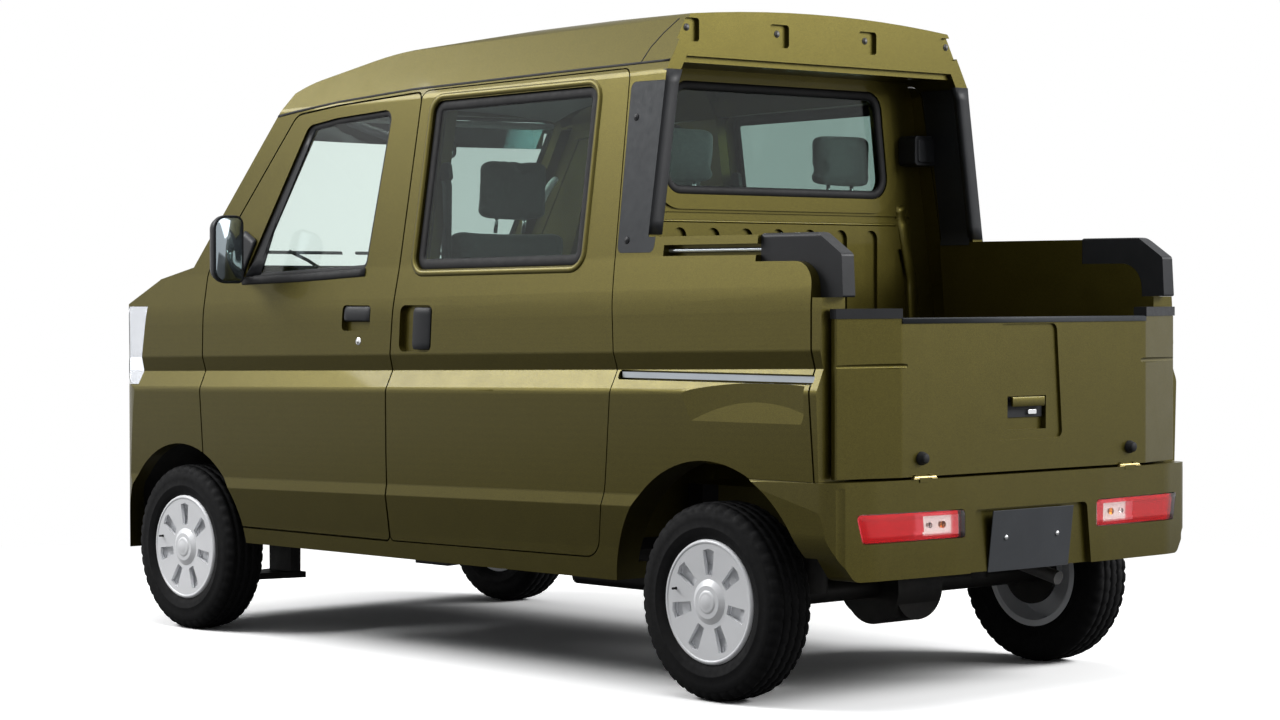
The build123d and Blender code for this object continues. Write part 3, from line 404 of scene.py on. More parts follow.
def rounded(rows, steps=6):
    """Closed outline of corner rows a, b, radius with each corner as a row of points on an arc."""
    outline = []
    for i, (a, b, radius) in enumerate(rows):
        corner = Vector((a, b))
        before = Vector(rows[i - 1][:2]) - corner
        after = Vector(rows[(i + 1) % len(rows)][:2]) - corner
        if radius <= 0:
            outline.append(tuple(corner))
            continue
        half = before.angle(after) / 2
        run = radius / math.tan(half)
        centre = corner + (before.normalized() + after.normalized()).normalized() * (radius / math.sin(half))
        first = corner + before.normalized() * run - centre
        last = corner + after.normalized() * run - centre
        sweep_angle = first.angle_signed(last)
        for k in range(steps + 1):
            spot = Matrix.Rotation(-sweep_angle * k / steps, 2) @ first
            outline.append(tuple(centre + spot))
    return outline


def dense(points, gap, closed=True):
    """The same line with extra points, so that it can follow a curved panel."""
    result = []
    count = len(points)
    for i in range(count if closed else count - 1):
        a, b = Vector(points[i]), Vector(points[(i + 1) % count])
        pieces = max(1, math.ceil((b - a).length / gap))
        result += [tuple(a.lerp(b, k / pieces)) for k in range(pieces)]
    if not closed:
        result.append(tuple(points[-1]))
    return result


def surface_of(*names):
    """Search tree over the faces of CAD nodes."""
    points, faces = [], []
    for name in names:
        mesh = NODES[name].data
        start = len(points)
        points += [vert.co.copy() for vert in mesh.vertices]
        faces += [[start + i for i in polygon.vertices] for polygon in mesh.polygons]
    return BVHTree.FromPolygons(points, faces)


def tube(points, radius, steps=10, flat=1.0, up=Y_AXIS, closed=False):
    """Round bar along a line of points, flattened by flat along up."""
    section = []
    for k in range(steps):
        angle = 2 * math.pi * k / steps
        section.append((radius * math.cos(angle), flat * radius * math.sin(angle)))
    return sweep([Vector(point) for point in points], section, closed, up)


def loft(sections):
    """Closed solid through rings of as many points each."""
    bm = bmesh.new()
    rings = [[bm.verts.new(point) for point in ring] for ring in sections]
    join_rings(bm, rings)
    bm.faces.new(rings[0])
    bm.faces.new(rings[-1])
    return bm


def hit(tree, start, direction):
    """First spot of a panel on a ray, and its normal."""
    return tree.ray_cast(Vector(start), Vector(direction))[:2]


# Camera, floor and light


def camera():
    yaw, pitch, roll = (math.radians(a) for a in (CAMERA_YAW, CAMERA_PITCH, CAMERA_ROLL))
    ahead = Vector((math.cos(yaw) * math.cos(pitch), math.sin(yaw) * math.cos(pitch), math.sin(pitch)))
    right = Vector((math.sin(yaw), -math.cos(yaw), 0))
    up = right.cross(ahead)
    right, up = right * math.cos(roll) + up * math.sin(roll), up * math.cos(roll) - right * math.sin(roll)
    eye = bpy.data.objects.new("camera", bpy.data.cameras.new("camera"))
    eye.data.lens = CAMERA_LENS
    eye.data.shift_x, eye.data.shift_y = CAMERA_SHIFT
    eye.data.clip_end = 200
    turn = Matrix((right, up, -ahead)).transposed().to_4x4()
    eye.matrix_world = Matrix.Translation(CAMERA_AT) @ turn
    SCENE.collection.objects.link(eye)
    SCENE.camera = eye


def background_ray(tree, others=("Is Glossy Ray", "Is Transmission Ray")):
    """1 for rays that show the background: straight from the camera, off gloss or through glass."""
    path = tree.nodes.new("ShaderNodeLightPath")
    result = path.outputs["Is Camera Ray"]
    for other in others:
        either = tree.nodes.new("ShaderNodeMath")
        either.operation = "MAXIMUM"
        tree.links.new(result, either.inputs[0])
        tree.links.new(path.outputs[other], either.inputs[1])
        result = either.outputs["Value"]
    return result


def floor():
    """Grey floor that light falls on, seen pale, fading into the white backdrop."""
    bm = bmesh.new()
    bmesh.ops.create_grid(bm, x_segments=4, y_segments=4, size=30)
    ground = link_mesh("floor", bm)
    material, tree, shader = new_material("floor")
    tree.links.new(ramp(tree, noise(tree, 3, 3), 0.13, 0.15), shader.inputs["Base Color"])
    set_inputs(shader, {"Roughness": 0.9})
    pale = tree.nodes.new("ShaderNodeBsdfDiffuse")
    set_inputs(pale, {"Color": (FLOOR_WHITE, FLOOR_WHITE, FLOOR_WHITE, 1)})
    far = tree.nodes.new("ShaderNodeEmission")
    distance = tree.nodes.new("ShaderNodeVectorMath")
    distance.operation = "LENGTH"
    tree.links.new(position(tree), distance.inputs[0])
    path = tree.nodes.new("ShaderNodeLightPath")
    edge = tree.nodes.new("ShaderNodeMapRange")
    edge.interpolation_type = "SMOOTHSTEP"
    tree.links.new(distance.outputs["Value"], edge.inputs["Value"])
    for limit, plain, gloss in zip(("From Min", "From Max"), FLOOR_FADE, GLOSS_FADE):
        choice = tree.nodes.new("ShaderNodeMapRange")
        set_inputs(choice, {"To Min": plain, "To Max": gloss})
        tree.links.new(path.outputs["Is Glossy Ray"], choice.inputs["Value"])
        tree.links.new(choice.outputs["Result"], edge.inputs[limit])
    seen_through = background_ray(tree, ("Is Transmission Ray",))
    near = mixed(tree, seen_through, shader.outputs["BSDF"], pale.outputs["BSDF"])
    fade = mixed(tree, edge.outputs["Result"], near, far.outputs["Emission"])
    both = mixed(tree, background_ray(tree), shader.outputs["BSDF"], fade)
    tree.links.new(both, tree.nodes["Material Output"].inputs["Surface"])
    ground.data.materials.append(material)


def area_light(name, at, towards, size, power):
    lamp = bpy.data.lights.new(name, "AREA")
    lamp.shape = "RECTANGLE"
    lamp.size, lamp.size_y = size
    lamp.energy = power
    holder = bpy.data.objects.new(name, lamp)
    holder.location = at
    holder.rotation_euler = (Vector(towards) - Vector(at)).to_track_quat("-Z", "Y").to_euler()
    SCENE.collection.objects.link(holder)


def world():
    """Soft grey light all round, seen as plain white."""
    backdrop = bpy.data.worlds.new("studio")
    SCENE.world = backdrop
    backdrop.use_nodes = True
    tree = backdrop.node_tree
    glow = tree.nodes["Background"]
    set_inputs(glow, {"Color": (0.95, 0.97, 1.0, 1), "Strength": 0.2})
    white = tree.nodes.new("ShaderNodeBackground")
    set_inputs(white, {"Color": (1, 1, 1, 1), "Strength": 1.0})
    both = mixed(tree, background_ray(tree), glow.outputs["Background"], white.outputs["Background"])
    tree.links.new(both, tree.nodes["World Output"].inputs["Surface"])


camera()
floor()
world()
area_light("front_left", (4.6, 4.4, 4.7), (0.0, 0.7, 0.9), (4.5, 2.0), 360)
area_light("rear_right", (-6.0, -4.0, 4.0), (-1.5, 0.0, 0.8), (4.5, 2.4), 500)
area_light("top", (-0.4, 0.6, 4.8), (0.0, 0.0, 1.0), (5.0, 3.5), 150)

# Outlines that the cut panels share with the CAD: x, z, corner radius (the rear window: y, z)
DOOR_WINDOW = [
    (0.96, 1.125, 0.03), (0.322, 1.15, 0.035), (0.28, 1.638, 0.035), (0.56, 1.622, 0.2),
    (0.702, 1.604, 0.045),
]
SLIDE_WINDOW = [(0.086, 1.152, 0.04), (-0.655, 1.16, 0.04), (-0.648, 1.662, 0.04), (0.082, 1.652, 0.04)]
REAR_WINDOW = [(0.446, 1.378, 0.045), (0.41, 1.666, 0.045), (-0.41, 1.666, 0.045), (-0.446, 1.378, 0.045)]
SCREEN = [(0.612, 1.172, 0.055), (0.535, 1.672, 0.055), (-0.535, 1.672, 0.055), (-0.612, 1.172, 0.055)]

LEFT_SKIN = surface_of(
    "front_door_left", "sliding_door_left", "body_side_left", "roof", "door_glass_left", "sliding_glass",
)
FRONT_SKIN = surface_of(
    "windscreen", "roof", "cowl", "bonnet", "nose_panel", "front_bumper", "grille", "body_side_left",
    "body_side_right",
)
REAR_SKIN = surface_of("rear_bumper", "tail_lamps", "tailgate")
WALL_SKIN = surface_of("rear_wall", "rear_window")
LAMP_SKIN = surface_of("headlamp_lenses")
SCREEN_SKIN = surface_of("windscreen", "cowl", "roof")


def on_left(x, z):
    return hit(LEFT_SKIN, (x, 2, z), (0, -1, 0))


def on_front(y, z):
    return hit(FRONT_SKIN, (4, y, z), (-1, 0, 0))


def on_lens(y, z):
    return hit(LAMP_SKIN, (4, y, z), (-1, 0, 0))


def on_glass(y, z):
    return hit(SCREEN_SKIN, (4, y, z), (-1, 0, 0))


def on_rear(y, z):
    return hit(REAR_SKIN, (-4, y, z), (1, 0, 0))


def on_wall(y, z):
    return hit(WALL_SKIN, (-2, y, z), (1, 0, 0))


def shifted(outline, amount):
    """Closed outline moved out by amount, or in where it is negative."""
    area = sum(p[0] * q[1] - q[0] * p[1] for p, q in zip(outline, outline[1:] + outline[:1]))
    turn = 1 if area > 0 else -1
    result = []
    for i, point in enumerate(outline):
        ahead = (Vector(outline[(i + 1) % len(outline)]) - Vector(outline[i - 1])).normalized()
        result.append((point[0] + turn * ahead.y * amount, point[1] - turn * ahead.x * amount))
    return result


def strip(line, cast, section, gap=0.03, keep=lambda spot: True):
    """Open strip along a line of points that lies on a panel, where keep holds."""
    found = [cast(*point) for point in dense(line, gap, False)]
    found = [(spot, normal) for spot, normal in found if spot is not None and keep(spot)]
    return sweep([spot for spot, _ in found], section, False, [normal for _, normal in found])


def seal(outline, cast, section, shift=0.0):
    """Closed strip along an outline that lies on a panel."""
    found = [cast(a, b) for a, b in shifted(dense(rounded(outline), 0.03), shift)]
    found = [(spot, normal) for spot, normal in found if spot is not None]
    return sweep([spot for spot, _ in found], section, True, [normal for _, normal in found])


def plaque(outline, cast, low, high, rings=4):
    """Closed plate that follows a panel inside a rounded outline, from low to high along its normal."""
    line = dense(rounded(outline, 4), 0.03)
    count = len(line)
    centre = Vector((sum(p[0] for p in line) / count, sum(p[1] for p in line) / count))
    bm = bmesh.new()

    def on_panel(point, share, level):
        spot, normal = None, None
        while spot is None and share > 0:
            spot, normal = cast(*centre.lerp(Vector(point), share))
            share -= 0.02
        return bm.verts.new(spot + normal * level)

    faces = []
    for level in (high, low):
        made = [[on_panel(point, k / rings, level) for point in line] for k in range(rings, 0, -1)]
        spot, normal = cast(*centre)
        faces.append((made, bm.verts.new(spot + normal * level)))
    for made, middle in faces:
        join_rings(bm, made)
        for i in range(count):
            bm.faces.new((made[-1][i], made[-1][(i + 1) % count], middle))
    join_rings(bm, [faces[0][0][0], faces[1][0][0]])
    return bm


def half_round(width, low, high):
    """Section of a lip: width across, from low to high along the panel's normal."""
    section = [(-width / 2, low), (width / 2, low)]
    for k in range(7):
        angle = math.pi * k / 6
        section.append((width / 2 * math.cos(angle), low + (high - low) * (0.35 + 0.65 * math.sin(angle))))
    return section


def mirrored(bm):
    for vert in bm.verts:
        vert.co.y = -vert.co.y
    bmesh.ops.reverse_faces(bm, faces=bm.faces)
    return bm


def pair(name, build, finish, body="root", **options):
    """The left piece and its mirror image. A body name with {} gets the side's name."""
    made = []
    for side, s in SIDES:
        bm = build()
        if s < 0:
            bm = mirrored(bm)
        made.append(place(f"{name}_{side}", bm, finish, body.format(side), **options))
    return made


# Windows: rubber, lips and shade band


def lip(outline, cast, width, low, high, shift):
    """Rounded rubber along a window's outline."""
    return seal(outline, cast, half_round(width, low, high), shift)


def windows():
    """Rubber round each window, and the painted lip round the sliding door's."""
    for name, outline, row, finish, body in (
        ("door_window_rubber", DOOR_WINDOW, (0.024, -0.006, 0.003, -0.008), "rubber", "front_door_{}"),
        ("slide_window_rubber", SLIDE_WINDOW, (0.034, -0.006, 0.004, -0.015), "rubber", "root"),
        ("slide_window_lip", SLIDE_WINDOW, (0.02, -0.003, 0.005, 0.011), "body_paint", "root"),
    ):
        pair(name, lambda: lip(outline, on_left, *row), finish, body)
    place("rear_window_gasket", lip(REAR_WINDOW, on_wall, 0.026, -0.006, 0.006, 0.004), "rubber")
    place("windscreen_gasket", lip(SCREEN, on_front, 0.022, -0.005, 0.003, 0.002), "rubber")


def belt_strips():
    """Rubber strip along the foot of each front door's glass."""
    line = [(0.955, 1.122), (0.64, 1.131), (0.325, 1.146)]
    section = half_round(0.026, -0.003, 0.006)
    pair("belt_strip", lambda: strip(line, on_left, section), "rubber", "front_door_{}")


def window_foot():
    """Black band on the glass along the window's front edge, widening to a quarter at its foot."""
    rows = [
        (0.945, 1.136, 0.004), (0.87, 1.136, 0.01), (0.884, 1.176, 0.03), (0.672, 1.596, 0.008),
        (0.698, 1.6, 0.01),
    ]
    pair("window_quarter", lambda: plaque(rows, on_left, -0.002, 0.0025), "black_plastic", "front_door_{}")


def drip_line():
    """Black strip in the joint between roof and side."""
    drip = [
        (-0.918, 1.7185), (-0.5, 1.7105), (0.209, 1.6935), (0.56, 1.6725), (0.783, 1.6505), (0.93, 1.6335),
        (1.0, 1.624),
    ]
    section = half_round(0.009, -0.003, 0.0025)
    pair("drip_strip", lambda: strip(drip, on_left, section, keep=lambda spot: spot.y > 0.4), "rubber")


# Door furniture


def lock():
    """Key barrel of a front door."""
    profile = [
        (0.0, 0.0045), (0.004, 0.0045), (0.0045, 0.002), (0.0095, 0.002), (0.012, 0.001), (0.0125, -0.002),
        (0, -0.002),
    ]
    return lathe(profile, *on_left(0.326, 0.939), 32)


def skin_y(x, z, low, high):
    """The door skin's y at a height inside a recess, from the skin just below and above it."""
    under, over = on_left(x, low)[0].y, on_left(x, high)[0].y
    return under + (over - under) * (z - low) / (high - low)


def handle_rings(steps, place_ring):
    """Rings from one end of a handle to the other. Near an end they are drawn in by up to 1."""
    rings = []
    for k in range(steps + 1):
        near_end = max(0.0, 1 - min(k, steps - k) / 2)
        rings.append(place_ring(k / steps, near_end))
    return loft(rings)


def front_handle():
    """Flap over the upper part of the front door's recess, curled in along its foot."""
    x0, x1, z0, z1 = 0.279, 0.406, 0.997, 1.0435
    rows = (
        (z1, -0.01), (z1, -0.001), (z1 - 0.01, 0.0025), (z0 + 0.014, 0.0035), (z0 + 0.004, 0.001),
        (z0, -0.005), (z0 + 0.002, -0.01), (z0 + 0.01, -0.006),
    )

    def ring(along, near_end):
        x = x0 + (x1 - x0) * along
        pull = 0.004 * near_end ** 2
        return [(x, skin_y(x, z, 0.958, 1.058) + out - pull, z) for z, out in rows]
    return handle_rings(16, ring)


def slide_handle():
    """Upright bar in the rear half of the sliding door's recess."""
    x0, x1, z0, z1 = -0.013, 0.07, 0.9175, 1.0415
    rows = (
        (-1, -0.014), (-1, -0.001), (-0.8, 0.003), (0.5, 0.0045), (0.9, 0.002), (1, -0.004), (0.9, -0.01),
        (0.5, -0.007),
    )

    def ring(along, near_end):
        z = z0 + (z1 - z0) * along
        pull = 0.004 * near_end ** 2
        half = (x1 - x0) / 2 - 0.003 * near_end
        spots = [((x0 + x1) / 2 + half * a, out) for a, out in rows]
        return [(x, skin_y(x, z, 0.898, 1.06) + out - pull, z) for x, out in spots]
    return handle_rings(16, ring)


def door_furniture():
    pair("door_lock", lock, "chrome", "front_door_{}")
    pair("door_handle", front_handle, "black_plastic", "front_door_{}", bevel=0.002)
    pair("slide_handle", slide_handle, "black_plastic", bevel=0.002)


# Door mirrors

MIRROR_RIM = [(0.762, 1.114, 0.02), (0.762, 1.326, 0.028), (0.874, 1.326, 0.045), (0.874, 1.114, 0.045)]
MIRROR_X = 0.858


def mirror_housing():
    """Shallow bowl round the glass, its arm, and a foot on the window's front corner."""
    bm = bmesh.new()
    outline = rounded(MIRROR_RIM, 8)
    bowl = [
        (0.004, 0.01), (0.000, 0.006), (0.000, 0.001), (0.004, 0.0), (0.018, 0.0015), (0.036, 0.009),
        (0.052, 0.022), (0.062, 0.038),
    ]
    merge(bm, loft([[(MIRROR_X + x, y, z) for y, z in shifted(outline, -inset)] for x, inset in bowl]))
    arm = [(0.905, 0.8, 1.168), (0.925, 0.765, 1.16), (0.955, 0.725, 1.152), (0.985, 0.7, 1.15)]
    merge(bm, tube(arm, 0.017, 12, 0.75, Vector((0, 0, 1))))
    foot = [(1.098, 1.13, 0.01), (0.966, 1.12, 0.01), (0.905, 1.25, 0.01), (0.972, 1.282, 0.01)]
    merge(bm, plaque(foot, on_left, 0.001, 0.006))
    return bm


def mirrors():
    housing = pair("mirror_housing", mirror_housing, "black_plastic", "front_door_{}")
    for piece, (side, _) in zip(housing, SIDES):
        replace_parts(piece, "mirror_" + side)

    def glass():
        return prism(shifted(rounded(MIRROR_RIM, 8), -0.0085), 0, MIRROR_X - 0.0005, MIRROR_X + 0.005)
    pair("mirror_glass", glass, "mirror_glass", "front_door_{}")


# Wheels and tyres


def tyre(axle_x, s):
    """Tyre with rounded side walls, four running grooves and cross cuts in the shoulders."""
    half = [
        (0.1523, 0.05), (0.16, 0.056), (0.166, 0.0565), (0.172, 0.063), (0.185, 0.069), (0.196, 0.0715),
        (0.1975, 0.0722), (0.2, 0.0722), (0.2015, 0.0715), (0.22, 0.0718), (0.238, 0.0705), (0.2395, 0.0695),
        (0.245, 0.0685), (0.252, 0.0655), (0.258, 0.06), (0.2615, 0.055), (0.263, 0.044), (0.257, 0.043),
        (0.257, 0.0385), (0.2645, 0.0375), (0.2648, 0.017), (0.258, 0.016), (0.258, 0.011), (0.265, 0.01),
    ]
    rows = half + [(r, -v) for r, v in reversed(half)]
    shoulder_r, shoulder_v, shoulder_cut = 0.2435, 0.044, 0.0055
    rib_r, middle_rib_v, rib_cut = 0.2635, 0.02, 0.0035
    steps = 176
    bm = bmesh.new()
    rings = []
    for k in range(steps):
        angle = 2 * math.pi * k / steps
        ring = []
        for r, v in rows:
            cut = 0.0
            skew = 1 if v > 0 else 3
            if r > shoulder_r and abs(v) > shoulder_v and (k + skew) % 4 == 0:
                cut = shoulder_cut
            elif r > rib_r and (k + (skew if abs(v) < middle_rib_v else 2)) % 4 == 0:
                cut = rib_cut
            x = axle_x + (r - cut) * math.cos(angle)
            z = TYRE_R + (r - cut) * math.sin(angle)
            ring.append(bm.verts.new((x, s * (HALF_TRACK + v), z)))
        rings.append(ring)
    join_rings(bm, rings, along=True)
    return bm


COVER_SLOTS = 7


def wheel_cover(axle_x, s):
    """Raised rim and round cap of the wheel cover."""
    centre = (axle_x, s * (HALF_TRACK + 0.0605), TYRE_R)
    rim = [(0.1535, 0.0005), (0.1555, 0.005), (0.16, 0.0062), (0.165, 0.0035), (0.167, -0.001)]
    cap = [
        (0.0, 0.0135), (0.018, 0.0132), (0.0225, 0.0115), (0.024, 0.0118), (0.03, 0.01), (0.0345, 0.006),
        (0.044, 0.0045), (0.0465, 0.0015),
    ]
    bm = lathe(rim, centre, (0, s, 0), 96)
    merge(bm, lathe(cap, centre, (0, s, 0), 64))
    return bm


def valve(axle_x, s):
    """Tyre valve in the second slot of the cover."""
    angle, reach = 2 * math.pi * 1.5 / COVER_SLOTS, 0.128
    spot = (axle_x + reach * math.sin(angle), s * (HALF_TRACK + 0.052), TYRE_R + reach * math.cos(angle))
    profile = [(0.0, 0.026), (0.003, 0.0255), (0.0034, 0.02), (0.003, 0.014), (0.0042, 0.012), (0.0045, 0)]
    return lathe(profile, spot, (0, s, 0), 16)


def wheels():
    """Tyre, cover and valve of each wheel."""
    for end, axle_x in (("f", FRONT_AXLE_X), ("r", REAR_AXLE_X)):
        for side, s in SIDES:
            name = end + side[0]
            rubber = place("tyre_tread_" + name, tyre(axle_x, s), "tyre", "wheel_" + name)
            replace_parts(rubber, "tyre_" + name)
            place("wheel_cover_" + name, wheel_cover(axle_x, s), "wheel_silver", "wheel_" + name)
            place("valve_" + name, valve(axle_x, s), "rubber", "wheel_" + name)


# Tailgate, rear bumper and lamps

GATE_HALF = 0.499
SCREW = [(0, 0.0035), (0.005, 0.003), (0.0068, 0.001), (0.007, -0.001), (0, -0.001)]
SCREW_Y = 0.105


def gate_stop():
    """Rubber buffer near the gate's foot."""
    profile = [
        (0.0, 0.02), (0.01, 0.02), (0.0135, 0.017), (0.014, 0.01), (0.0175, 0.007), (0.018, 0.0),
        (0.019, -0.003), (0.0, -0.003),
    ]
    return lathe(profile, (GATE_X, 0.427, 0.654), (-1, 0, 0), 28)


def gate_strip():
    """Thin grey strip along the top of the gate's outer face."""
    outer, inner = GATE_X - 0.0035, GATE_X + 0.006
    rows = [(outer, 1.003, 0.001), (outer, 1.0155, 0.002), (inner, 1.0185, 0.001), (inner, 1.003, 0)]
    return slab(rows, 1, -GATE_HALF, GATE_HALF, 3)


def gate_handle():
    """Flap over the upper part of the grip, its foot curled outward."""
    rows = [
        (0.01, 0.804), (0.0005, 0.804), (-0.001, 0.8), (-0.0012, 0.783), (0.0005, 0.777), (0.006, 0.78),
        (0.008, 0.79),
    ]
    return prism([(GATE_X + x, z) for x, z in rows], 1, -0.066, 0.066)


def gate_grip():
    """Black cup under the flap, a dark sheet that paints the shade of the hole there, with the latch's tongue
    in it.
    """
    # Painted shade: the black cup stands in for the shade in the hole under the flap.
    shade_cup = box((GATE_X + 0.017, -0.074, 0.748), (GATE_X + 0.0215, 0.074, 0.802))
    place("gate_cup_painted_shade", shade_cup, "black_plastic", "tailgate", bevel=0.001)
    tongue = slab(rect(-0.044, 0.756, -0.01, 0.769, 0.003), 0, GATE_X + 0.01, GATE_X + 0.018, 3)
    place("gate_tongue", tongue, "chrome", "tailgate", bevel=0.001)


def hinges():
    """Plates of the two hinges on the bumper's ledge, and the pin of each."""
    bm = bmesh.new()
    pin = [(0, 0.0005), (0.0036, 0.0005), (0.0042, 0), (0.0042, -0.082), (0, -0.082)]
    for y in (-0.42, 0.42):
        for near, far in ((y - 0.045, y - 0.024), (y + 0.024, y + 0.045)):
            merge(bm, box((-1.6955, near, 0.6005), (-1.6845, far, 0.6035)))
        merge(bm, lathe(pin, (-1.691, y + 0.041, 0.6045), (0, 1, 0), 20))
    return bm


# Corners of a tail lamp, and two corners of its clear window: y, z
LAMP_REAR = [(0.271, 0.443), (0.272, 0.514), (0.653, 0.516), (0.635, 0.443)]
CLEAR_LOW, CLEAR_HIGH = (0.295, 0.452), (0.43, 0.506)


def on_lamp(y, z):
    """Spot of the rear panels at a height and side, or the nearest one where the lamp's edge overhangs."""
    return on_rear(y, z)[0] or REAR_SKIN.find_nearest(Vector((-1.69, y, z)))[0]


def lamp_grid(depth, nu=64, nv=14, ribs=0.0):
    """Patch over the lamp's outline on the bumper, set in by depth, with upright ribs."""
    bm = bmesh.new()
    rows = []
    for j in range(nv + 1):
        row = []
        for i in range(nu + 1):
            u, v = i / nu, j / nv
            low = Vector(LAMP_REAR[0]).lerp(Vector(LAMP_REAR[3]), u)
            high = Vector(LAMP_REAR[1]).lerp(Vector(LAMP_REAR[2]), u)
            y, z = low.lerp(high, v)
            swell = min(1, min(u, 1 - u) * nu / 3, min(v, 1 - v) * nv / 2)
            inward = depth - 0.0025 * swell + ribs * (i % 2) * swell
            row.append(bm.verts.new((on_lamp(y, z).x + inward, y, z)))
        rows.append(row)
    join_rings(bm, rows, around=False)
    return bm


def lens(keep):
    """The lamp's front: the clear window, or the red rest round it."""
    bm = lamp_grid(-0.001)
    drop = []
    for face in bm.faces:
        middle = face.calc_center_median()
        inside = CLEAR_LOW[0] < middle.y < CLEAR_HIGH[0] and CLEAR_LOW[1] < middle.z < CLEAR_HIGH[1]
        if inside != keep:
            drop.append(face)
    bmesh.ops.delete(bm, geom=drop, context="FACES")
    return bm


def lamp_cup():
    """Black housing behind a tail lamp."""
    line = dense(LAMP_REAR, 0.02)
    bm = bmesh.new()
    rings = []
    for depth, shrink in ((0.006, 0.0), (0.03, 0.002), (0.04, 0.012)):
        ring = [(on_lamp(y, z).x + depth, y, z) for y, z in shifted(line, -shrink - 0.001)]
        rings.append([bm.verts.new(point) for point in ring])
    join_rings(bm, rings)
    bm.faces.new(rings[-1])
    return bm


def tail_lamps():
    """Cup, lenses, reflector and two bulbs of each tail lamp."""
    pair("tail_cup", lamp_cup, "black_plastic")
    made = pair("tail_lens_red", lambda: lens(False), "red_lens")
    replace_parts(made[0], "tail_lamps")
    pair("tail_lens_clear", lambda: lens(True), "tail_clear")
    pair("tail_reflector", lambda: lamp_grid(0.024, 48, 10, 0.004), "lamp_silver")
    amber = [(0, 0.02), (0.006, 0.0185), (0.0095, 0.012), (0.0085, 0.004), (0.006, 0)]
    white = [(0, 0.016), (0.005, 0.0145), (0.0078, 0.009), (0.0065, 0.003), (0.005, 0)]
    pair("tail_bulb_amber", lambda: lathe(amber, (-1.668, 0.345, 0.479), (-1, 0, 0), 24), "bulb_amber")
    pair("tail_bulb_white", lambda: lathe(white, (-1.668, 0.392, 0.479), (-1, 0, 0), 24), "clear_lens")


def plate():
    """Blank plate, leaning back at its foot."""
    bm = box((-0.0015, -0.165, -0.0825), (0.0015, 0.165, 0.0825))
    lean = Matrix.Translation((-1.693, 0.0, 0.4235)) @ Matrix.Rotation(math.radians(-7), 4, "Y")
    bm.transform(lean)
    return bm


def screws(x, z, axis):
    """Two screws of a plate."""
    return several(SCREW, [(x, y, z) for y in (-SCREW_Y, SCREW_Y)], axis, 20)


def rear_end():
    """Tailgate's fittings, tail lamps and plate."""
    pair("gate_stop", gate_stop, "rubber", "tailgate")
    place("gate_strip", gate_strip(), "grey_trim", "tailgate")
    place("gate_handle", gate_handle(), "body_paint", "tailgate", bevel=0.0015)
    gate_grip()
    place("gate_hinges", hinges(), "zinc_gold", bevel=0.0006)
    tail_lamps()
    place("plate", plate(), "plate_grey", bevel=0.001)
    place("plate_screws", screws(-1.6965, 0.432, (-1, 0, -0.12)), "chrome")


# Cab's rear corners and wall


def roof_fittings():
    """Bolts in the pockets of the roof's rear face, and the joint of its corner piece."""
    roof_rear = surface_of("roof")
    bolt = [
        (0, 0.006), (0.0052, 0.006), (0.0062, 0.0045), (0.0065, 0.002), (0.01, 0.0015), (0.0105, -0.001),
        (0, -0.001),
    ]
    bolts = bmesh.new()
    for y in (-0.53, -0.18, 0.18, 0.53):
        merge(bolts, lathe(bolt, *hit(roof_rear, (-4, y, 1.812), (1, 0, 0)), 24))
    place("roof_bolts", bolts, "cast_grey")
    line = [(-0.8, 1.716), (-0.815, 1.76), (-0.845, 1.8), (-0.885, 1.838)]
    section = half_round(0.006, -0.003, 0.0012)
    pair("roof_joint", lambda: strip(line, on_left, section, 0.015, lambda spot: spot.y > 0.3), "rubber")


def pillar_covers():
    """Clips on the outer trim, and the dark cover over the pillar's rear edge and inner face."""
    inside = inner_cast("body_side_left")
    trims = surface_of("pillar_trims", "body_side_left")
    clip = [(0, 0.0035), (0.004, 0.0035), (0.0055, 0.0015), (0.0085, 0.0022), (0.0105, 0.0), (0, -0.001)]

    def clips():
        bm = bmesh.new()
        for x, z in ((-0.821, 1.565), (-0.838, 1.227)):
            merge(bm, lathe(clip, *hit(trims, (x, 2, z), (0, -1, 0)), 28))
        return bm
    pair("trim_clips", clips, "black_plastic")

    rear, foot, height, steps = -0.9225, 1.242, 0.452, 12

    def edge():
        rings = []
        for k in range(steps + 1):
            z = foot + height * k / steps
            y1 = on_left(rear + 0.01, z)[0].y + 0.0015
            y0 = inside(rear + 0.01, z)[0].y - 0.0045
            rings.append([
                (rear + 0.016, y1 - 0.001, z), (rear - 0.001, y1, z), (rear - 0.005, y1 - 0.005, z),
                (rear - 0.005, y0 + 0.005, z), (rear - 0.001, y0, z), (rear + 0.016, y0, z),
            ])
        return loft(rings)
    pair("pillar_edge", edge, "black_plastic")
    lining = span(-0.915, -0.75, 1.225, 1.69)
    pair("pillar_lining", lambda: patch(lining, inside, 10, 20, 0.004), "black_plastic")


def wall_fittings():
    """Black box on the rear wall, and the pressed brace beside the window."""
    outer = [(-0.512, 1.464, 0.012), (-0.512, 1.554, 0.012), (-0.602, 1.554, 0.012), (-0.602, 1.464, 0.012)]
    inner = [(-0.522, 1.474, 0.008), (-0.522, 1.544, 0.008), (-0.592, 1.544, 0.008), (-0.592, 1.474, 0.008)]
    case = merge(slab(outer, 0, -0.805, -0.7365), slab(inner, 0, -0.81, -0.804))
    place("wall_box", case, "black_plastic", bevel=0.005)
    line = [(0.52, 1.345), (0.54, 1.25), (0.575, 1.12), (0.585, 0.96)]
    section = half_round(0.045, -0.004, 0.007)
    pair("wall_brace", lambda: strip(line, on_wall, section, 0.02, lambda spot: spot.x < -0.7), "body_paint")


# Front end


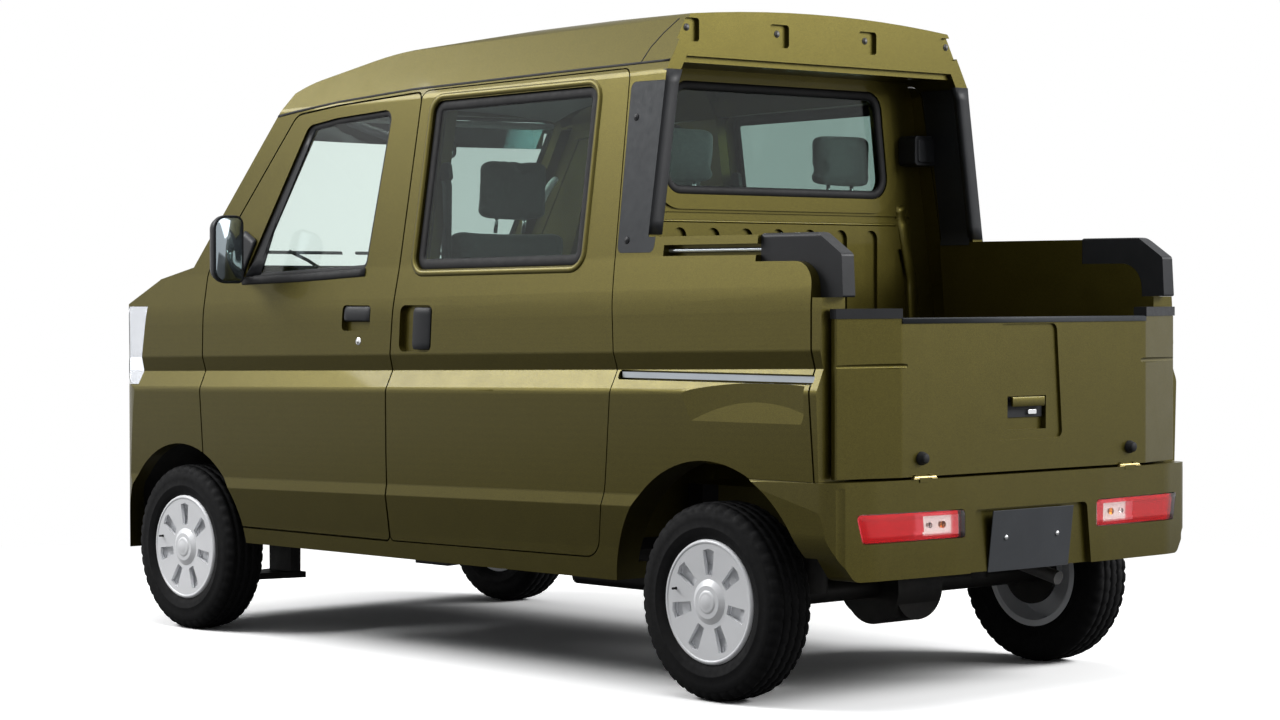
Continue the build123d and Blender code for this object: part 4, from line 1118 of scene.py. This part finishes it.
def headlamp_fittings():
    """Reflector with its bulb, bezel ring, and the amber lamp beside it."""
    y0, z0, ring_r = 0.59, 0.89, 0.068
    front = on_lens(y0, z0)[0].x
    bowl = [
        (0.0605, -0.012), (0.06, -0.02), (0.056, -0.034), (0.044, -0.048), (0.026, -0.058), (0.01, -0.062),
        (0, -0.062),
    ]
    pair("headlamp_bowl", lambda: lathe(bowl, (front - 0.02, y0, z0), (1, 0, 0), 64), "lamp_silver")
    bulb = [(0, 0.042), (0.006, 0.041), (0.0085, 0.036), (0.0085, 0.012), (0.012, 0.01), (0.014, 0.0), (0, 0)]
    pair("headlamp_bulb", lambda: lathe(bulb, (front - 0.08, y0, z0), (1, 0, 0), 32), "chrome")

    def ring():
        angles = [2 * math.pi * k / 48 for k in range(48)]
        found = [on_lens(y0 + ring_r * math.cos(a), z0 + ring_r * math.sin(a)) for a in angles]
        found = [(spot, normal) for spot, normal in found if spot is not None]
        line = [spot - normal * 0.0105 for spot, normal in found]
        return tube(line, 0.004, 8, up=[normal for _, normal in found], closed=True)
    pair("headlamp_ring", ring, "black_plastic")
    amber = [(0.446, 0.832, 0.012), (0.5, 0.832, 0.012), (0.508, 0.925, 0.012), (0.468, 0.925, 0.012)]
    pair("indicator", lambda: plaque(amber, on_lens, -0.007, -0.0043), "bulb_amber")


def front_end():
    """Headlamps, grilles, blank plate, fog lamp covers and wipers."""
    headlamp_fittings()
    slot_rows = [(-0.33, 0.852, 0.01), (0.33, 0.852, 0.01), (0.352, 0.884, 0.01), (-0.352, 0.884, 0.01)]
    place("nose_grille", plaque(slot_rows, on_front, -0.001, 0.0025), "black_plastic")
    bars = bmesh.new()
    for z in (0.8605, 0.8685, 0.8765):
        merge(bars, strip([(-0.325, z), (0.325, z)], on_front, half_round(0.0036, 0.001, 0.0062), 0.04))
    place("nose_grille_bars", bars, "grey_trim")

    def on_opening(y, z):
        return Vector((on_front(y, 0.495)[0].x, y, z)), Vector((1, 0, 0))
    grille = [(-0.445, 0.345, 0.02), (0.445, 0.345, 0.02), (0.46, 0.475, 0.02), (-0.46, 0.475, 0.02)]
    place("grille_backing", plaque(grille, on_opening, -0.06, -0.055), "black_plastic")
    face = on_front(0.0, 0.585)[0].x
    holder = slab(rect(-0.17, 0.5, 0.17, 0.67, 0.006), 0, face - 0.002, face + 0.005)
    place("front_plate_holder", holder, "black_plastic", bevel=0.001)
    blank = slab(rect(-0.165, 0.5025, 0.165, 0.6675, 0.006), 0, face + 0.005, face + 0.0075)
    place("front_plate", blank, "plate_grey", bevel=0.0008)
    place("front_plate_screws", screws(face + 0.0075, 0.64, (1, 0, 0)), "chrome")
    fog = [(0.515, 0.395, 0.02), (0.625, 0.405, 0.02), (0.625, 0.475, 0.02), (0.52, 0.47, 0.02)]
    pair("fog_cover", lambda: plaque(fog, on_front, -0.001, 0.003), "black_plastic")
    wipers()


def wipers():
    """Two parked arms with their blades, and two washer jets."""
    arms, blades, jets = bmesh.new(), bmesh.new(), bmesh.new()
    cap = [(0, 0.02), (0.01, 0.019), (0.013, 0.014), (0.014, 0.0), (0, -0.002)]
    arm = [(-0.006, -0.002), (0.006, -0.002), (0.005, 0.003), (-0.005, 0.003)]
    blade = [
        (-0.001, -0.007), (0.001, -0.007), (0.005, 0.001), (0.003, 0.006), (-0.003, 0.006), (-0.005, 0.001),
    ]
    jet = [(0, 0.007), (0.005, 0.0065), (0.009, 0.004), (0.011, 0.0), (0, -0.001)]
    for pivot, start, end in ((0.03, 0.02, 0.47), (-0.44, -0.47, -0.04)):
        merge(arms, lathe(cap, *on_glass(pivot, 1.15), 24))
        middle = (start + end) / 2
        path = []
        for t in (0, 0.25, 0.5, 0.75, 1):
            spot, normal = on_glass(pivot + (middle - pivot) * t, 1.15 + 0.065 * t)
            path.append(spot + normal * (0.016 + 0.004 * math.sin(math.pi * t)))
        merge(arms, sweep(path, arm, False, normal))
        found = [on_glass(start + (end - start) * k / 12, 1.215) for k in range(13)]
        line = [spot + normal * 0.008 for spot, normal in found]
        merge(blades, sweep(line, blade, False, [normal for _, normal in found]))
    place("wiper_arms", arms, "black_plastic", bevel=0.001)
    place("wiper_blades", blades, "rubber")
    for y in (-0.22, 0.22):
        merge(jets, lathe(jet, *on_front(y, 1.105), 20))
    place("washer_jets", jets, "black_plastic")


def fuel_lid():
    """Lid in the right rear wing: its joint, and a black patch that paints the shade of its finger dent."""
    joint = seal(rect(-0.9, 0.69, -1.04, 0.815, 0.018), on_left, half_round(0.0045, -0.003, 0.0006))
    place("fuel_lid_joint", mirrored(joint), "rubber")
    # Painted shade: a flat black patch stands in for the shade in the finger dent.
    painted_dent_shade = plaque(rect(-0.902, 0.742, -0.912, 0.764, 0.004), on_left, -0.001, 0.0008)
    place("fuel_lid_painted_dent_shade", mirrored(painted_dent_shade), "black_plastic")


# Seats: foam under cloth covers

AIR_PRESSURE = 4
CLOTH_STIFFNESS = 18
CLOTH_STEPS = 20


def foam_block(rows, y0, y1, inset):
    """Block of foam: outline of x, z, radius rows, a little small, with rounded ends at y0 and y1."""
    outline = shifted(dense(rounded(rows), 0.03), -inset)
    stations = ((0.0, 0.026), (0.006, 0.014), (0.016, 0.005), (0.034, 0.0))
    ends = [(y0 + inset + along, shrink) for along, shrink in stations]
    ends += [(y1 - inset - along, shrink) for along, shrink in reversed(stations)]
    return loft([[(x, y, z) for x, z in shifted(outline, -shrink)] for y, shrink in ends])


def applied(piece):
    """The piece's mesh with its modifiers, which are then taken off."""
    bpy.context.view_layer.update()
    mesh = bpy.data.meshes.new_from_object(piece.evaluated_get(bpy.context.evaluated_depsgraph_get()))
    piece.modifiers.clear()
    old = piece.data
    piece.data = mesh
    bpy.data.meshes.remove(old)


def blow_up(piece, cap):
    """Swells the cover with air pressure, no point further than cap."""
    rest = [vert.co.copy() for vert in piece.data.vertices]
    cloth = piece.modifiers.new("cover", "CLOTH")
    cloth.settings.use_pressure = True
    cloth.settings.uniform_pressure_force = AIR_PRESSURE
    cloth.settings.tension_stiffness = cloth.settings.compression_stiffness = CLOTH_STIFFNESS
    cloth.settings.effector_weights.gravity = 0
    cloth.collision_settings.use_collision = False
    cloth.point_cache.frame_start = 1
    cloth.point_cache.frame_end = CLOTH_STEPS
    for step in range(1, CLOTH_STEPS + 1):
        SCENE.frame_set(step)
    applied(piece)
    SCENE.frame_set(1)
    for vert, start in zip(piece.data.vertices, rest):
        move = vert.co - start
        if move.length > cap:
            vert.co = start + move * (cap / move.length)


def pull_in(piece, channels, reach=0.01, facing=0.35):
    """Presses sewn lines into the cover. A channel is its normal's axis and sign, a depth, and its points."""
    for axis, sign, depth, points in channels:
        lines = [(Vector(a), Vector(b)) for a, b in zip(points, points[1:])]
        for vert in piece.data.vertices:
            if vert.normal[axis] * sign < facing:
                continue
            flat = vert.co.copy()
            gaps = []
            for a, b in lines:
                a, b = a.copy(), b.copy()
                a[axis] = b[axis] = flat[axis]
                t = max(0, min(1, (flat - a).dot(b - a) / max((b - a).length_squared, 1e-9)))
                gaps.append((flat - a.lerp(b, t)).length)
            near = min(gaps)
            if near < reach * 3:
                vert.co -= vert.normal * depth * math.exp(-(near / reach) ** 2)


def cushion(name, rows, y0, y1, channels=(), cap=0.014, voxel=0.011):
    """One stuffed piece with its sewn channels."""
    piece = place(name, foam_block(rows, y0, y1, 0.006), "seat_fabric")
    remesh = piece.modifiers.new("even", "REMESH")
    remesh.mode = "VOXEL"
    remesh.voxel_size = voxel
    remesh.use_smooth_shade = True
    applied(piece)
    blow_up(piece, cap)
    pull_in(piece, channels)
    for polygon in piece.data.polygons:
        polygon.use_smooth = True
    finer = piece.modifiers.new("smooth", "SUBSURF")
    finer.levels = finer.render_levels = 1
    return piece


# Side outlines of the padded pieces: x, z, corner radius
SEAT_CUSHION = [
    (0.18, 0.7005, 0.02), (0.64, 0.7005, 0.03), (0.655, 0.8, 0.04), (0.59, 0.842, 0.06), (0.18, 0.812, 0.02),
]
SEAT_BACK = [
    (0.13, 0.73, 0.03), (0.24, 0.77, 0.03), (0.232, 0.83, 0.02), (0.142, 1.278, 0.035), (0.048, 1.284, 0.035),
]
SEAT_REST = [(0.04, 1.302, 0.025), (0.118, 1.302, 0.025), (0.104, 1.486, 0.028), (0.032, 1.486, 0.028)]
BENCH_CUSHION = [
    (-0.64, 0.641, 0.02), (-0.18, 0.641, 0.03), (-0.16, 0.74, 0.04), (-0.22, 0.778, 0.05),
    (-0.64, 0.752, 0.02),
]
BENCH_BACK = [
    (-0.69, 0.64, 0.02), (-0.59, 0.66, 0.02), (-0.575, 0.76, 0.02), (-0.628, 1.376, 0.03),
    (-0.703, 1.376, 0.025),
]
BENCH_REST = [(-0.7, 1.396, 0.02), (-0.64, 1.396, 0.02), (-0.644, 1.556, 0.025), (-0.703, 1.556, 0.025)]


def post(length):
    """Profile of a headrest's post."""
    return [(0, length), (0.006, length), (0.006, 0), (0, 0)]


def front_seat(side, y):
    """Cushion with two long channels and a cross one, back with bolsters, and headrest on two posts."""
    wing = 0.135
    along = [(2, 1, 0.007, [(0.26, y + s * wing, 0.82), (0.56, y + s * wing, 0.84)]) for s in (-1, 1)]
    across = [(2, 1, 0.006, [(0.41, y - wing, 0.82), (0.41, y + wing, 0.82)])]
    made = cushion("seat_cushion_" + side, SEAT_CUSHION, y - 0.235, y + 0.235, along + across)
    upright = [(0, 1, 0.007, [(0.2, y + s * wing, 0.86), (0.2, y + s * 0.115, 1.22)]) for s in (-1, 1)]
    level = [(0, 1, 0.006, [(0.2, y - wing, z), (0.2, y + wing, z)]) for z in (0.93, 1.04, 1.15)]
    cushion("seat_back_" + side, SEAT_BACK, y - 0.228, y + 0.228, upright + level)
    seam = [(0, 1, 0.003, [(0.1, y - 0.09, 1.33), (0.1, y + 0.09, 1.33)])]
    cushion("seat_headrest_" + side, SEAT_REST, y - 0.13, y + 0.13, seam, voxel=0.008, cap=0.008)
    feet = [(0.09, y + dy, 1.264) for dy in (-0.055, 0.055)]
    place("seat_posts_" + side, several(post(0.058), feet, (-0.16, 0, 1), 16), "chrome")
    # Hard shell beside the cushion, over the recliner on the outer side
    outer = y + math.copysign(0.222, y)
    rows = [
        (0.19, 0.735, 0.01), (0.6, 0.735, 0.02), (0.6, 0.765, 0.015), (0.26, 0.79, 0.02), (0.24, 0.86, 0.02),
        (0.17, 0.86, 0.02),
    ]
    shell = slab(rows, 1, *sorted((outer, outer + math.copysign(0.016, y))))
    place("seat_recliner_" + side, shell, "dash_plastic", bevel=0.003)
    return made


def rear_seat():
    """Bench cushion and back in two parts with a seam between, and two headrests."""
    made = []
    for side, s in SIDES:
        y0, y1 = sorted((s * 0.003, s * 0.56))
        middle = (y0 + y1) / 2
        lines = [(2, 1, 0.006, [(-0.56, middle + d, 0.76), (-0.24, middle + d, 0.78)]) for d in (-0.15, 0.15)]
        made.append(cushion("bench_cushion_" + side, BENCH_CUSHION, y0, y1, lines, voxel=0.013))
        lines = [(0, 1, 0.006, [(-0.6, middle + d, 0.82), (-0.62, middle + d, 1.32)]) for d in (-0.15, 0.15)]
        for z in (0.95, 1.12, 1.26):
            lines.append((0, 1, 0.005, [(-0.6, middle - 0.15, z), (-0.6, middle + 0.15, z)]))
        cushion("bench_back_" + side, BENCH_BACK, y0, y1, lines, voxel=0.013)
        y0, y1 = s * SEAT_Y - 0.125, s * SEAT_Y + 0.125
        cushion("bench_headrest_" + side, BENCH_REST, y0, y1, voxel=0.008, cap=0.007)
    feet = [(-0.669, y + dy, 1.363) for y in (-SEAT_Y, SEAT_Y) for dy in (-0.05, 0.05)]
    place("bench_posts", several(post(0.042), feet, (0, 0, 1), 16), "chrome")
    rows = [(-0.56, 0.4205, 0), (-0.225, 0.4205, 0), (-0.205, 0.636, 0.02), (-0.56, 0.636, 0)]
    place("bench_base", slab(rows, 1, -0.498, 0.498), "carpet", bevel=0.004)
    return made


def seats():
    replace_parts(front_seat("left", SEAT_Y), "front_seats")
    front_seat("right", -SEAT_Y)
    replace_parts(rear_seat()[0], "rear_bench")


# Cabin lining and controls


def inner_cast(*names):
    """Caster from the middle of the cab out to the left: x, z to a spot and its normal."""
    tree = surface_of(*names)
    return lambda x, z: hit(tree, (x, 0, z), (0, 1, 0))


def span(a0, a1, b0, b1):
    """Outline of a rectangular patch."""
    return lambda u, v: (a0 + (a1 - a0) * u, b0 + (b1 - b0) * v)


def patch(outline, cast, nu, nv, thickness):
    """Sheet over a panel's inner side, off the panel by thickness. outline takes u, v from 0 to 1."""
    bm = bmesh.new()
    grid = []
    for j in range(nv + 1):
        found = [cast(*outline(i / nu, j / nv)) for i in range(nu + 1)]
        grid.append([bm.verts.new(spot + normal * thickness) if spot else None for spot, normal in found])
    for a, b in zip(grid, grid[1:]):
        for i in range(nu):
            corners = (a[i], a[i + 1], b[i + 1], b[i])
            if all(corners):
                bm.faces.new(corners)
    return bm


def steering_wheel():
    """Padded boss, wrapped rim and two stalks on the driver's column."""
    hub, rim_r = Vector((0.78, -0.325, 1.015)), 0.18
    out = Vector((-1, 0, 1)).normalized()
    boss = [(0, 0.03), (0.03, 0.029), (0.055, 0.023), (0.066, 0.012), (0.068, 0), (0.06, -0.006), (0, -0.006)]
    place("steering_boss", lathe(boss, hub, out, 40), "black_plastic", "steering_wheel", subdivide=1)
    over = out.cross(Y_AXIS).normalized()
    angles = [2 * math.pi * k / 96 for k in range(96)]
    rim = [hub + (Y_AXIS * math.cos(a) + over * math.sin(a)) * rim_r for a in angles]
    outward = [(p - hub).normalized() for p in rim]
    grip = tube(rim, 0.0152, 12, up=outward, closed=True)
    place("steering_grip", grip, "black_plastic", "steering_wheel")
    stalks = bmesh.new()
    for s in (-1, 1):
        root = hub - out * 0.055 + Y_AXIS * s * 0.022
        tip = hub - out * 0.03 + Y_AXIS * s * 0.135 + over * 0.012
        merge(stalks, tube([root, root.lerp(tip, 0.5), root.lerp(tip, 0.8), tip], 0.0065, up=over))
    place("stalks", stalks, "black_plastic", subdivide=1)
    corners = ((-1, -0.6), (-0.6, -1), (0.6, -1), (1, -0.6), (1, 0.6), (0.6, 1), (-0.6, 1), (-1, 0.6))
    line = [hub - out * back for back in (0.036, 0.06, 0.16, 0.21)]
    shroud = sweep(line, [(a * 0.045, b * 0.04) for a, b in corners], False, over)
    place("column_shroud", shroud, "dash_plastic", bevel=0.004)


def dials():
    """Rims, marks and needles of the three instruments. The marks run clockwise from the lower left."""
    first_mark, mark_step, needle_at = 225, 27, 200
    bm = bmesh.new()
    back = Vector((-1, 0, 0))
    mark = [(-0.0008, 0), (0.0008, 0), (0.0008, 0.0006), (-0.0008, 0.0006)]
    needle = [(-0.001, 0.001), (0.001, 0.001), (0.001, 0.002), (-0.001, 0.002)]

    def spoke(degrees):
        angle = math.radians(degrees)
        return Vector((0, -math.cos(angle), math.sin(angle)))
    for y, z, radius in ((-0.325, 1.124, 0.046), (-0.235, 1.13, 0.026), (-0.415, 1.13, 0.026)):
        centre = Vector((0.98, y, z))
        rim = [(radius, 0.0), (radius + 0.002, 0.002), (radius + 0.004, 0.0)]
        merge(bm, lathe(rim, centre, (-1, 0, 0), 48))
        for k in range(11):
            reach = spoke(first_mark - mark_step * k) * radius
            merge(bm, sweep([centre + reach * 0.78, centre + reach * 0.92], mark, False, back))
        merge(bm, sweep([centre, centre + spoke(needle_at) * radius * 0.8], needle, False, back))
    return bm


def vents():
    """Four frames with five slats in each."""
    bm = bmesh.new()
    section = [(-0.003, -0.006), (0.003, -0.006), (0.003, 0.004), (-0.003, 0.004)]
    for y in (-0.54, -0.105, 0.105, 0.54):
        for k in range(5):
            z = 1.003 + 0.011 * k
            merge(bm, box((0.922, y - 0.045, z), (0.94, y + 0.045, z + 0.003)))
        rim = rounded(rect(y - 0.052, 0.994, y + 0.052, 1.058, 0.008))
        merge(bm, sweep([Vector((0.931, a, b)) for a, b in rim], section, True, Vector((-1, 0, 0))))
    return bm


def dash_fittings():
    """Instrument hood and dials, vents, knobs, a blank radio cover, glove box lid, lever and pedals."""
    hood = [(-0.475, 1.1, 0.02), (-0.47, 1.185, 0.05), (-0.18, 1.185, 0.05), (-0.175, 1.1, 0.02)]
    hollow = [(-0.458, 1.1, 0.01), (-0.456, 1.17, 0.04), (-0.194, 1.17, 0.04), (-0.192, 1.1, 0.01)]
    stack = [(-0.12, 0.8, 0.012), (0.12, 0.8, 0.012), (0.128, 0.985, 0.012), (-0.128, 0.985, 0.012)]
    place("dash_hood", slab(hood, 0, 0.985, 1.1), "dash_plastic", bevel=0.012, segments=3)
    place("dial_face", slab(hollow, 0, 0.981, 0.986), "black_plastic")
    place("dials", dials(), "pale_plastic")
    place("vents", vents(), "black_plastic")
    place("centre_stack", slab(stack, 0, 0.925, 1.0), "dash_plastic", bevel=0.006)
    radio = slab(rect(-0.09, 0.895, 0.09, 0.945, 0.006), 0, 0.919, 0.926)
    place("radio_blank", radio, "black_plastic", bevel=0.001)
    knob = [(0, 0.02), (0.014, 0.02), (0.0165, 0.016), (0.018, 0.002), (0.021, 0.0), (0, 0)]
    knobs = several(knob, [(0.925, y, 0.845) for y in (-0.075, 0.0, 0.075)], (-1, 0, 0), 32)
    place("heater_knobs", knobs, "black_plastic")
    lid = slab(rect(0.19, 0.8, 0.56, 0.96, 0.02), 0, 0.915, 0.99)
    place("glove_lid", lid, "dash_plastic", bevel=0.006)
    ball = [(0, 0.045), (0.014, 0.043), (0.02, 0.03), (0.019, 0.014), (0.012, 0.0), (0, 0)]
    lever = bmesh.new()
    merge(lever, tube([(0.93, -0.155, 0.79), (0.88, -0.155, 0.8), (0.82, -0.155, 0.84)], 0.008))
    merge(lever, lathe(ball, (0.823, -0.155, 0.836), (-0.4, 0, 0.9), 24))
    place("gear_lever", lever, "black_plastic", subdivide=1)
    pedals = bmesh.new()
    for y, half in ((-0.225, 0.032), (-0.33, 0.032), (-0.44, 0.024)):
        merge(pedals, box((1.035, y - half, 0.545), (1.05, y + half, 0.61)))
        merge(pedals, tube([(1.05, y, 0.58), (1.15, y, 0.66), (1.22, y, 0.76)], 0.007, 8))
    place("pedals", pedals, "black_steel", bevel=0.002)


def cabin_lining():
    """Headliner, shade band, carpet, visors, room mirror, grips and belts."""
    roof_in = surface_of("roof")
    glass_in = surface_of("windscreen")

    def up(x, y):
        return hit(roof_in, (x, y, 1.3), (0, 0, 1))

    def forward(y, z):
        return hit(glass_in, (0.5, y, z), (1, 0, 0))

    def shade(u, v):
        return (-1 + 2 * u) * (0.56 - 0.035 * v), 1.575 + 0.085 * v
    lining = patch(span(-0.69, 0.83, -0.5, 0.5), up, 40, 20, 0.012)
    place("headliner", lining, "headliner")
    place("shade_band", patch(shade, forward, 40, 5, 0.0015), "shade_green")
    mats = slab(rect(-0.7, -0.585, 0.145, 0.585, 0.02), 2, 0.4203, 0.4243)
    place("rear_carpet", mats, "carpet")
    visors = bmesh.new()
    for s in (-1, 1):
        y0, y1 = s * 0.12, s * 0.48
        rows = [(0.8, y0, 0.02), (0.8, y1, 0.02), (0.925, y1, 0.02), (0.925, y0, 0.02)]
        merge(visors, slab(rows, 2, 1.636, 1.652))
    place("visors", visors, "headliner", bevel=0.006)
    mirror = slab(rect(-0.115, 1.53, 0.115, 1.59, 0.02), 0, 0.885, 0.905)
    merge(mirror, tube([(0.9, 0, 1.57), (0.93, 0, 1.6), (0.95, 0, 1.64)], 0.007, 8))
    place("room_mirror", mirror, "black_plastic", bevel=0.004)
    glass = slab(rect(-0.108, 1.536, 0.108, 1.584, 0.016), 0, 0.8835, 0.8855)
    place("room_mirror_glass", glass, "mirror_glass")
    grip = [
        (0.99, 0.575, 1.35), (0.975, 0.55, 1.375), (0.945, 0.545, 1.415), (0.912, 0.55, 1.455),
        (0.9, 0.57, 1.48),
    ]
    pair("pillar_grip", lambda: tube(grip, 0.013, 12), "pale_plastic", subdivide=1)
    belt = [
        (0.055, 0.6, 1.43), (0.06, 0.59, 1.4), (0.085, 0.575, 1.1), (0.115, 0.57, 0.8),
        (0.13, 0.575, 0.47),
    ]
    webbing = [(-0.023, -0.0007), (0.023, -0.0007), (0.023, 0.0007), (-0.023, 0.0007)]
    pair("belt_front", lambda: sweep([Vector(p) for p in belt], webbing, False, -Y_AXIS), "belt_webbing")
    anchor = [(0.03, 1.415, 0.012), (0.08, 1.415, 0.012), (0.072, 1.47, 0.016), (0.038, 1.47, 0.016)]
    pair("belt_anchor", lambda: slab(anchor, 1, 0.588, 0.604), "black_plastic", bevel=0.003)


def door_trims():
    """Moulded panel on the inner side of each door with an armrest or pull, and a release lever."""
    door_in = inner_cast("front_door_left")
    slide_in = inner_cast("sliding_door_left")

    def panel(cast, outline):
        return lambda: patch(outline, cast, 24, 24, 0.007)
    pair("door_trim", panel(door_in, span(0.235, 1.06, 0.42, 1.105)), "dash_plastic", "front_door_{}")
    pair("slide_trim", panel(slide_in, span(-0.735, 0.085, 0.42, 1.125)), "dash_plastic")

    def rest(cast, x0, x1, z):
        steps = 14
        rings = []
        for k in range(steps + 1):
            x = x0 + (x1 - x0) * k / steps
            swell = math.sin(math.pi * k / steps) ** 0.3
            inner = cast(x, z)[0].y - 0.005
            rows = ((-0.03, 0.0), (-0.022, 0.03), (0.0, 0.044), (0.02, 0.04), (0.028, 0.0))
            rings.append([(x, inner - b * swell, z + a * (0.5 + 0.5 * swell)) for a, b in rows])
        return loft(rings)
    for name, row, body in (
        ("door_armrest", (door_in, 0.33, 0.72, 0.86), "front_door_{}"),
        ("slide_pull", (slide_in, -0.1, 0.04, 0.98), "root"),
    ):
        pair(name, lambda: rest(*row), "dash_plastic", body, subdivide=1)

    def release():
        y = door_in(0.86, 0.95)[0].y
        bm = slab(rect(0.82, 0.925, 0.92, 0.975, 0.01), 1, y - 0.014, y - 0.004)
        return merge(bm, box((0.835, y - 0.022, 0.94), (0.905, y - 0.012, 0.96)))
    pair("door_release", release, "black_plastic", "front_door_{}", bevel=0.003)


windows()
belt_strips()
window_foot()
drip_line()
door_furniture()
mirrors()
wheels()
rear_end()
roof_fittings()
pillar_covers()
wall_fittings()
front_end()
fuel_lid()
seats()
steering_wheel()
dash_fittings()
cabin_lining()
door_trims()
